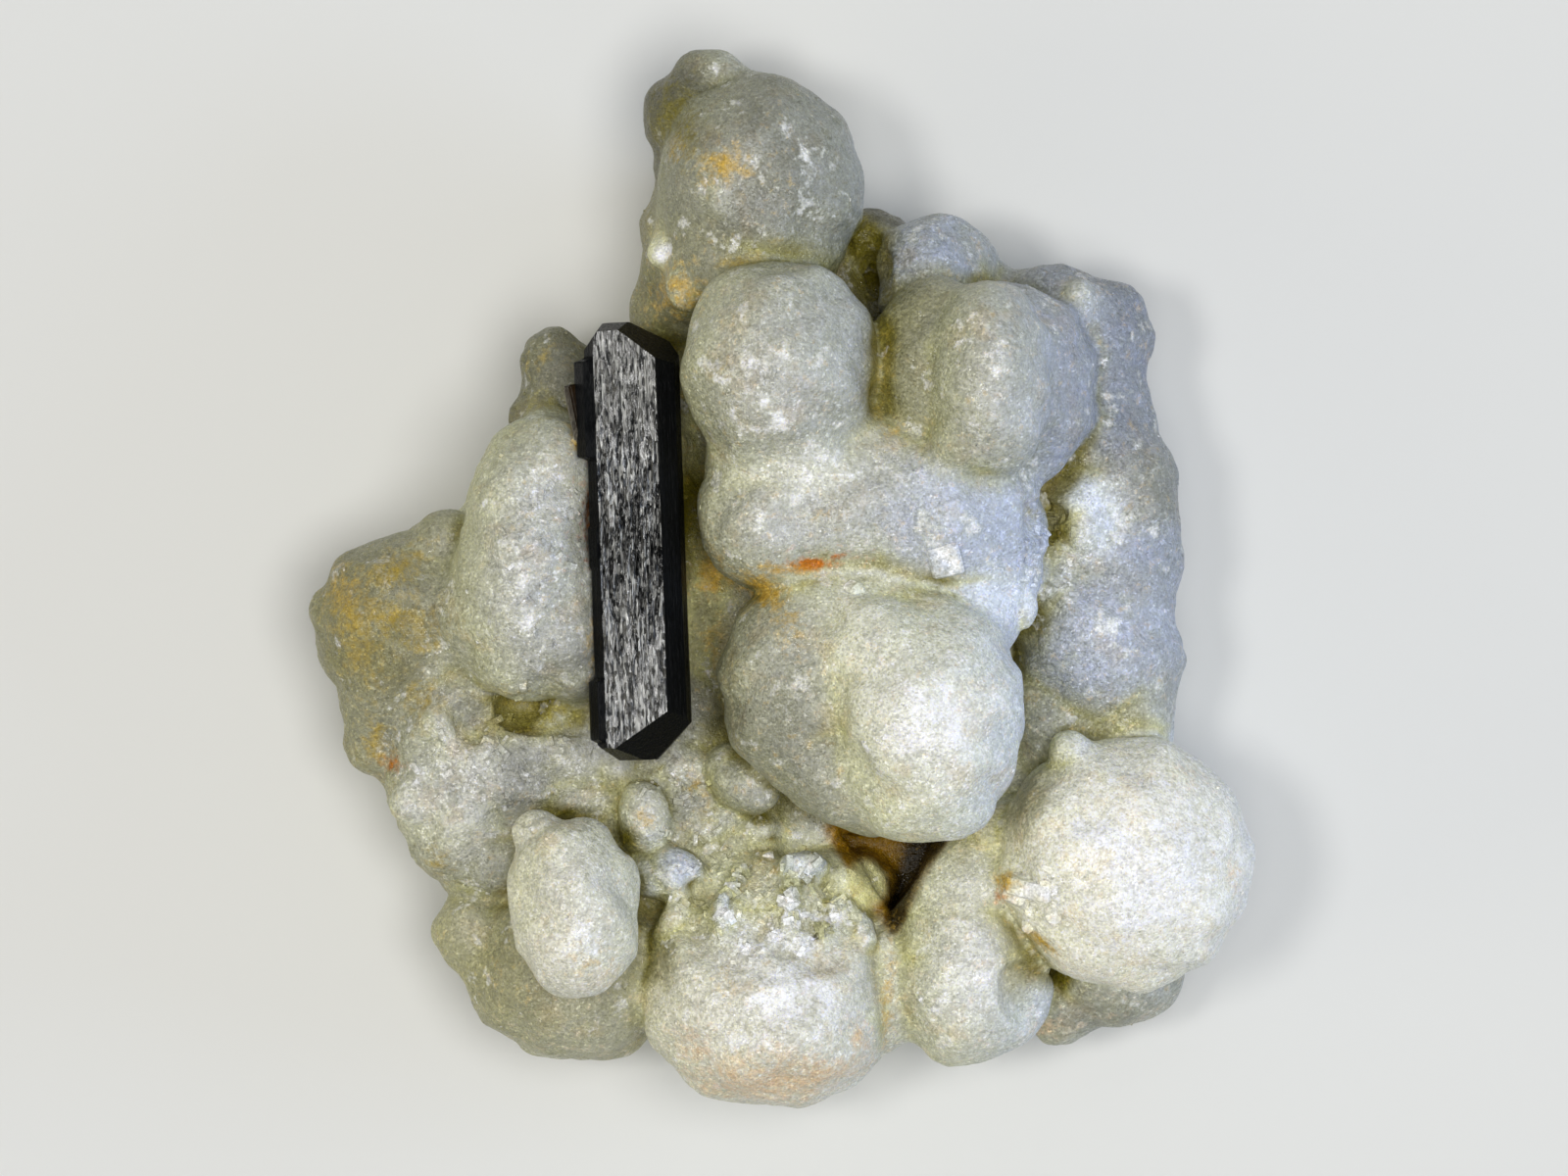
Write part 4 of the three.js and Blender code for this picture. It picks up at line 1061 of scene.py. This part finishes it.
def makeEpidote():
    shape = epidoteShape
    loop, looks = sectionLoop()
    x, z = loop.T
    low, high = tipReach(x, z, -1), tipReach(x, z, 1)
    share = np.linspace(0, 1, shape["stations"])[:, None]
    places = np.stack([np.broadcast_to(x, (len(share), len(x))), low + share * (high - low),
                       np.broadcast_to(z, (len(share), len(x)))], axis=2).reshape(-1, 3)
    outwards = np.tile(looks, (len(share), 1))
    edge = np.repeat(np.minimum(share, 1 - share) * 8, len(x), axis=0).clip(0, 1)[:, 0]
    relief = edge * epidoteRelief(places, np.clip(outwards[:, 1] * 3 - 2, 0, 1))
    left = np.clip(-outwards[:, 0] * 1.4, 0, 1)
    for start, end, out in shape["ledges"]:
        inside = np.clip((places[:, 1] - start) / 0.25, 0, 1) * np.clip((end - places[:, 1]) / 0.25, 0, 1)
        relief += left * out * inside
    places[:, [0, 2]] += outwards * relief[:, None]
    rings = [places.reshape(len(share), len(x), 3)]
    for end, ring in ((-1, rings[0][0]), (1, rings[0][-1])):
        steps = []
        for n in range(1, shape["capRings"]):
            shrink = 1 - n / shape["capRings"]
            capX, capZ = ring[:, 0] * shrink, ring[:, 2] * shrink
            steps.append(np.stack([capX, tipReach(capX, capZ, end), capZ], axis=1))
        rings.append(np.array(steps))
    around = len(x)
    order = [rings[1][::-1], rings[0], rings[2]]
    points = np.concatenate([part.reshape(-1, 3) for part in order])
    count = len(points) // around
    turn = np.arange(around)
    nextTurn = np.roll(turn, -1)
    strip = np.stack([turn, nextTurn, around + nextTurn, around + turn], axis=1)
    quads = np.concatenate([n * around + strip for n in range(count - 1)])
    ends = np.array([[0, tipReach(0.0, 0.0, -1), 0], [0, tipReach(0.0, 0.0, 1), 0]])
    fans = [(len(points), b, a) for a, b in zip(turn, nextTurn)]
    last = (count - 1) * around
    fans += [(len(points) + 1, last + a, last + b) for a, b in zip(turn, nextTurn)]
    points = np.concatenate([points, ends])
    mesh = bpy.data.meshes.new("epidote_crystal_fine")
    mesh.from_pydata(points.tolist(), [], [list(map(int, face)) for face in quads.tolist() + fans])
    # the first stretch of the section is the bright face, which gets the glossy material with its painted
    # sheen flecks, and the rest is dark
    faceTurn = np.r_[np.tile(turn, count - 1), turn, turn]
    ring = np.r_[np.repeat(np.arange(count - 1), around), np.full(2 * around, -1)]
    onBody = (ring >= shape["capRings"] - 1) & (ring < shape["capRings"] + shape["stations"] - 2)
    dark = ~((faceTurn < (looks[:, 1] > 0.99).sum()) & onBody)
    mesh.polygons.foreach_set("material_index", dark.astype(np.int32))
    obj = addObject("epidote_crystal_fine", mesh)
    own = mesh.attributes.new("ownPlace", "FLOAT_VECTOR", "POINT")
    own.data.foreach_set("vector", points.ravel())
    mesh.transform(Matrix.Scale(mm, 4) @ placeAt(shape["at"], shape["turns"]))
    turnOutwards(mesh)
    mesh.shade_smooth()
    mesh.set_sharp_from_angle(angle=math.radians(32))
    print("epidote:", len(mesh.vertices), "points")
    return obj


# The small brown crystal on the left flank of the epidote, in the epidote's own frame
sideCrystal = {"at": (-3.6, 9.2, 1.3), "size": (1.2, 4.0, 1.4), "turn": 10, "bevel": 0.12}


def makeSideCrystal():
    work = bmesh.new()
    bmesh.ops.create_cone(work, segments=6, cap_ends=True, radius1=0.5, radius2=0.5, depth=1)
    bmesh.ops.rotate(work, verts=work.verts, matrix=Matrix.Rotation(math.pi / 2, 3, "X"))
    wide, long, deep = sideCrystal["size"]
    bmesh.ops.scale(work, verts=work.verts, vec=(wide, long, deep))
    bmesh.ops.bevel(work, geom=work.edges[:], offset=sideCrystal["bevel"], segments=2, affect="EDGES")
    place = placeAt(epidoteShape["at"], epidoteShape["turns"]) @ Matrix.Translation(sideCrystal["at"])
    place = Matrix.Scale(mm, 4) @ place @ Matrix.Rotation(math.radians(sideCrystal["turn"]), 4, "Z")
    bmesh.ops.transform(work, matrix=place, verts=work.verts)
    mesh = bpy.data.meshes.new("epidote_side_crystal")
    work.to_mesh(mesh)
    work.free()
    return addObject("epidote_side_crystal", mesh)


def newMaterial(name):
    material = bpy.data.materials.new(name)
    material.use_nodes = True
    return material, material.node_tree, material.node_tree.nodes["Principled BSDF"]


def addNode(tree, kind, feeds=None, **values):
    # a node with its settings, its inputs by name after in_, and the sockets that feed it
    node = tree.nodes.new(kind)
    for key, value in values.items():
        if key.startswith("in_"):
            node.inputs[key[3:].replace("_", " ")].default_value = value
        else:
            setattr(node, key, value)
    for key, socket in (feeds or {}).items():
        tree.links.new(socket, node.inputs[key])
    return node


def scaled(tree, source, low, high, toLow, toHigh):
    # a value brought from one range to another
    ends = {"in_From_Min": low, "in_From_Max": high, "in_To_Min": toLow, "in_To_Max": toHigh}
    return addNode(tree, "ShaderNodeMapRange", {"Value": source}, **ends).outputs[0]


def mixed(tree, share, first, second, blend="MIX"):
    # two colours mixed, each a socket or a fixed colour
    node = addNode(tree, "ShaderNodeMix", data_type="RGBA", blend_type=blend)
    for number, value in ((0, share), (6, first), (7, second)):
        if isinstance(value, bpy.types.NodeSocket):
            tree.links.new(value, node.inputs[number])
        else:
            node.inputs[number].default_value = value
    return node.outputs[2]


def times(tree, share, first, second):
    return mixed(tree, share, first, second, "MULTIPLY")


def raggedAmount(tree, amount, noise, softness):
    # full where the amount outweighs the noise, with a short soft edge
    against = scaled(tree, noise, 0.35, 0.65, -1, 0)
    total = addNode(tree, "ShaderNodeMath", {0: amount, 1: against}, operation="ADD")
    return scaled(tree, total.outputs[0], -softness / 2, softness, 0, 1)


def tilted(tree, colour, tilt):
    # a normal that leans by a random colour
    kind = "ShaderNodeVectorMath"
    lean = addNode(tree, kind, {0: colour}, operation="MULTIPLY_ADD")
    lean.inputs[1].default_value = tilt
    lean.inputs[2].default_value = [-part / 2 for part in tilt]
    straight = tree.nodes.new("ShaderNodeNewGeometry").outputs["Normal"]
    total = addNode(tree, kind, {0: lean.outputs[0], 1: straight}, operation="ADD")
    return addNode(tree, kind, {0: total.outputs[0]}, operation="NORMALIZE").outputs[0]


def bumped(tree, heights, feeds):
    # a normal raised by each height in turn: its source, how high, and whether it is turned over
    for source, high, invert in heights:
        feeds = {**feeds, "Height": source}
        bump = addNode(tree, "ShaderNodeBump", feeds, in_Distance=high, invert=invert)
        feeds["Normal"] = bump.outputs[0]
    return feeds["Normal"]


def chances(tree, colour):
    # three random values from one random colour
    return addNode(tree, "ShaderNodeSeparateColor", {0: colour}).outputs


prehniteLook = {
    "grain": 6600,  # grains in a metre: each is about 0.2 mm across
    "speck": 1500,
    "tilt": 0.55,  # how far the faces of the grains lean
    "grainLight": (0.78, 1.16),  # darkest and lightest grain, as a share of the skin colour
    # the noises: waves in a metre, detail and roughness
    "noises": {
        "mottle": (1400, 6, 0.7), "cloud": (480, 6, 0.66), "patch": (300, 5, 0.7), "fleck": (2600, 3, 0.6),
    },
    # what the skin colour is multiplied by: the noise, where it begins and is full, its share, and the tone
    "tones": (
        ("cloud", 0.50, 0.60, 0.6, (0.92, 0.92, 0.79, 1)),  # greener and clearer
        ("patch", 0.52, 0.60, 0.5, (0.86, 0.87, 0.92, 1)),  # greyer
        ("patch", 0.48, 0.42, 0.5, (1.18, 1.18, 1.24, 1)),  # whiter
        ("warmth", 0.54, 0.64, 0.7, (1.04, 0.94, 0.84, 1)),  # nearer to peach
    ),
    # the same on top of the chalk: milky spots, and where one small crystal meets the next
    "topTones": (
        ("mottle", 0.53, 0.60, 0.8, (1.20, 1.21, 1.30, 1)),
        ("meeting", 0.5, 0.75, 0.8, (1.12, 1.12, 1.18, 1)),
    ),
    # light and dark flecks, stronger where the skin is rough
    "flecks": (
        ("fleck", 0.60, 0.66, 0.9, (1.6, 1.62, 1.74, 1)),
        ("fleck", 0.42, 0.36, 0.9, (0.72, 0.73, 0.70, 1)),
    ),
    "darkSpeck": (0.22, 0.22, 0.16, 1),
    "frost": (1.9, 1.9, 1.95, 1),
    "roughness": (0.45, 0.12),  # of most grains, and of the few that shine
    "glow": 0.6,  # how much of the light goes through the skin
    "glowDepth": 0.0009,
    "glowColour": (1.0, 0.96, 0.6),
    "grainBump": 0.00005,
    "lumpBump": 0.00012,
    "speckBump": 0.00006,
}


def prehniteMaterial(name, glow):
    look = prehniteLook
    material, tree, shader = newMaterial(name)
    place = {"Vector": addNode(tree, "ShaderNodeTexCoord").outputs["Object"]}
    skin, stainColour, stain, chalk, grit = (
        addNode(tree, "ShaderNodeAttribute", attribute_name=layer).outputs["Color" if width == 4 else "Fac"]
        for layer, width in skinLayers.items()
    )
    grain, speck = (
        addNode(tree, "ShaderNodeTexVoronoi", place, in_Scale=look[size]).outputs
        for size in ("grain", "speck")
    )
    noises = {"meeting": speck["Distance"]}
    for key, (waves, detail, roughness) in look["noises"].items():
        settings = {"in_Scale": waves, "in_Detail": detail, "in_Roughness": roughness}
        noise = addNode(tree, "ShaderNodeTexNoise", place, **settings)
        noises[key] = noise.outputs["Fac"]
        if key == "patch":
            noises["warmth"] = chances(tree, noise.outputs["Color"])[1]

    def toned(colour, tones, where=None):
        for key, low, high, share, tone in tones:
            amount = scaled(tree, noises[key], low, high, 0, share)
            colour = times(tree, times(tree, 1, amount, where) if where else amount, colour, tone)
        return colour

    colour = toned(skin, look["tones"])
    amount = raggedAmount(tree, chalk, noises["cloud"], 0.3)
    colour = toned(mixed(tree, amount, colour, (*skinColours["chalk"], 1)), look["topTones"])
    colour = toned(colour, look["flecks"], scaled(tree, grit, 0.25, 0.75, 0.35, 1))
    amount = raggedAmount(tree, stain, noises["mottle"], 0.6)
    colour = mixed(tree, amount, colour, stainColour)
    # each grain is a little lighter or darker than the next
    chance = chances(tree, grain["Color"])
    colour = times(tree, 1, colour, scaled(tree, chance[0], 0, 1, *look["grainLight"]))
    # scattered dark specks, then grains of frost, which stay out of the pocket with the chalk
    dot = scaled(tree, speck["Distance"], 0.10, 0.16, 1, 0)
    chosen = scaled(tree, chances(tree, speck["Color"])[0], 0.7, 0.75, 0, 0.4)
    colour = mixed(tree, times(tree, 1, dot, chosen), colour, look["darkSpeck"])
    frost = scaled(tree, chance[1], 0.9, 0.98, 0, 0.45)
    frost = times(tree, 1, frost, scaled(tree, chalk, -0.5, 0, 0, 1))
    tree.links.new(times(tree, frost, colour, look["frost"]), shader.inputs["Base Color"])
    roughness = scaled(tree, chance[2], 0.7, 0.85, *look["roughness"])
    tree.links.new(roughness, shader.inputs["Roughness"])
    # the faces of the grains lean this way and that, and stand out of the skin
    heights = (
        (noises["mottle"], look["lumpBump"], False), (speck["Distance"], look["speckBump"], False),
        (grain["Distance"], look["grainBump"], True),
    )
    feeds = {"Strength": scaled(tree, grit, 0, 1, 0.4, 1)}
    feeds["Normal"] = tilted(tree, grain["Color"], [look["tilt"]] * 3)
    tree.links.new(bumped(tree, heights, feeds), shader.inputs["Normal"])
    shader.inputs["Subsurface Weight"].default_value = glow
    shader.inputs["Subsurface Radius"].default_value = look["glowColour"]
    shader.inputs["Subsurface Scale"].default_value = look["glowDepth"]
    shader.inputs["IOR"].default_value = 1.5
    return material


epidoteLook = {
    "colour": (0.004, 0.0045, 0.005, 1),
    "grains": (6.0, 1.7, 6.0),  # grains in a millimetre across, along and up
    "streaks": (6.0, 0.3, 6.0),
    "streakBump": 0.00014,
    "grainBump": 0.00002,
    "fleck": (0.42, 0.42, 0.40, 1),  # painted sheen on the bright face: light grey flecks that stand in for its glints
    # the bright face and the others: gloss, how far the grains lean, and roughness
    "bright": (0.6, (0.75, 0.4, 0.05), (0.06, 0.2)),
    "dark": (0.02, (0.3, 0.2, 0.2), (0.14, 0.34)),
}


def epidoteMaterial(face):
    look = epidoteLook
    gloss, tilt, roughness = look[face]
    material, tree, shader = newMaterial("epidote " + face)
    own = addNode(tree, "ShaderNodeAttribute", attribute_name="ownPlace").outputs["Vector"]
    grains, streaks = (
        {"Vector": addNode(tree, "ShaderNodeMapping", {"Vector": own}, in_Scale=look[scale]).outputs[0]}
        for scale in ("grains", "streaks")
    )
    grain = addNode(tree, "ShaderNodeTexVoronoi", grains, in_Scale=1).outputs
    noise = addNode(tree, "ShaderNodeTexNoise", streaks, in_Scale=1, in_Detail=4, in_Roughness=0.62)
    streak = noise.outputs["Fac"]
    heights = ((streak, look["streakBump"], False), (grain["Distance"], look["grainBump"], False))
    normal = bumped(tree, heights, {"Normal": tilted(tree, grain["Color"], tilt)})
    tree.links.new(normal, shader.inputs["Normal"])
    tree.links.new(scaled(tree, streak, 0.3, 0.7, *roughness), shader.inputs["Roughness"])
    shader.inputs["Base Color"].default_value = look["colour"]
    if face == "bright":
        # painted sheen: light grey flecks in the streaks of the bright face stand in for its glints
        paintedSheenGrains = scaled(tree, chances(tree, grain["Color"])[1], 0.45, 0.6, 0, 1)
        share = times(tree, 1, paintedSheenGrains, scaled(tree, streak, 0.47, 0.56, 0, 1))
        tree.links.new(mixed(tree, share, look["colour"], look["fleck"]), shader.inputs["Base Color"])
    shader.inputs["Specular IOR Level"].default_value = gloss
    shader.inputs["IOR"].default_value = 1.76
    return material


# Thin epidote lets the light through, brown and green
brownLook = {
    "dark": (0.004, 0.003, 0.002, 1),
    "light": (0.035, 0.017, 0.003, 1),
    "waves": 1500,
    "bump": 0.00005,
}


def brownMaterial():
    look = brownLook
    material, tree, shader = newMaterial("epidote thin")
    place = {"Vector": addNode(tree, "ShaderNodeTexCoord").outputs["Object"]}
    noise = addNode(tree, "ShaderNodeTexNoise", place, in_Scale=look["waves"], in_Detail=3).outputs["Fac"]
    ramp = addNode(tree, "ShaderNodeValToRGB", {0: noise})
    for element, colour in zip(ramp.color_ramp.elements, ("dark", "light")):
        element.color = look[colour]
    tree.links.new(ramp.outputs[0], shader.inputs["Base Color"])
    tree.links.new(bumped(tree, ((noise, look["bump"], False),), {}), shader.inputs["Normal"])
    shader.inputs["Roughness"].default_value = 0.2
    shader.inputs["IOR"].default_value = 1.74
    shader.inputs["Transmission Weight"].default_value = 0.3
    return material


# The photograph: millimetres in a pixel, its size, and the height that the scale holds at
photoView = {
    "pixel": 0.07, "wide": 1600, "high": 1200, "middle": (798, 594), "height": 13, "lens": 300, "sensor": 36,
}


def makeCamera():
    look = photoView
    data = bpy.data.cameras.new("camera")
    data.lens, data.sensor_width = look["lens"], look["sensor"]
    away = look["wide"] * look["pixel"] * look["lens"] / look["sensor"]
    x = (look["wide"] / 2 - look["middle"][0]) * look["pixel"]
    y = (look["middle"][1] - look["high"] / 2) * look["pixel"]
    camera = addObject("camera", data)
    camera.location = Vector((x, y, look["height"] + away)) * mm
    bpy.context.scene.camera = camera


# Soft lamps, in metres: place, size, power and colour
lamps = {
    "key": ((0.14, -0.06, 1.10), 0.5, 6.4, (1.0, 0.99, 0.97)),
    "sheen": ((-0.326, 0.0, 1.18), 0.2, 3.2, (1.0, 0.99, 0.97)),
    "cool": ((0.80, 0.02, 0.34), 0.45, 2.0, (0.54, 0.70, 1.0)),
    "warm": ((-0.75, -0.20, 0.40), 0.5, 0.9, (1.0, 0.93, 0.70)),
}
worldLight = ((0.94, 0.97, 1.0, 1), 0.22)


def makeLamps():
    for name, (place, size, power, colour) in lamps.items():
        data = bpy.data.lights.new(name, "AREA")
        data.shape = "DISK"
        data.size, data.energy, data.color = size, power, colour
        lamp = addObject(name, data)
        lamp.location = place
        lamp.rotation_euler = (-Vector(place)).to_track_quat("-Z", "Y").to_euler()
    world = bpy.data.worlds.new("studio")
    world.use_nodes = True
    back = world.node_tree.nodes["Background"]
    back.inputs["Color"].default_value, back.inputs["Strength"].default_value = worldLight
    bpy.context.scene.world = world


floorLook = {"size": 3.0, "colour": (0.72, 0.72, 0.70, 1), "roughness": 0.7}


def makeFloor():
    mesh = bpy.data.meshes.new("floor")
    half = floorLook["size"] / 2
    corners = [(-half, -half, 0), (half, -half, 0), (half, half, 0), (-half, half, 0)]
    mesh.from_pydata(corners, [], [(0, 1, 2, 3)])
    floor = addObject("floor", mesh)
    material, _, shader = newMaterial("pale floor")
    shader.inputs["Base Color"].default_value = floorLook["colour"]
    shader.inputs["Roughness"].default_value = floorLook["roughness"]
    mesh.materials.append(material)


makeCamera()
makeLamps()
makeFloor()
print("camera, lamps and floor made")

skinLook = prehniteMaterial("prehnite skin", prehniteLook["glow"])
cluster = makePrehnite()
cluster.data.materials.append(skinLook)
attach(cluster, "root")
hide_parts("prehnite_cluster")

bladeLook = prehniteMaterial("prehnite blades", 0.0)
for smallOnes in (makeTablets(), makeBlades(cluster)):
    smallOnes.data.materials.append(bladeLook)
    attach(smallOnes, "root")

crystal = makeEpidote()
for face in ("bright", "dark"):
    crystal.data.materials.append(epidoteMaterial(face))
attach(crystal, "root")
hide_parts("epidote_crystal")

sideOne = makeSideCrystal()
sideOne.data.materials.append(brownMaterial())
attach(sideOne, "root")
print("crystals made")

bpy.context.scene.view_settings.view_transform = "Standard"
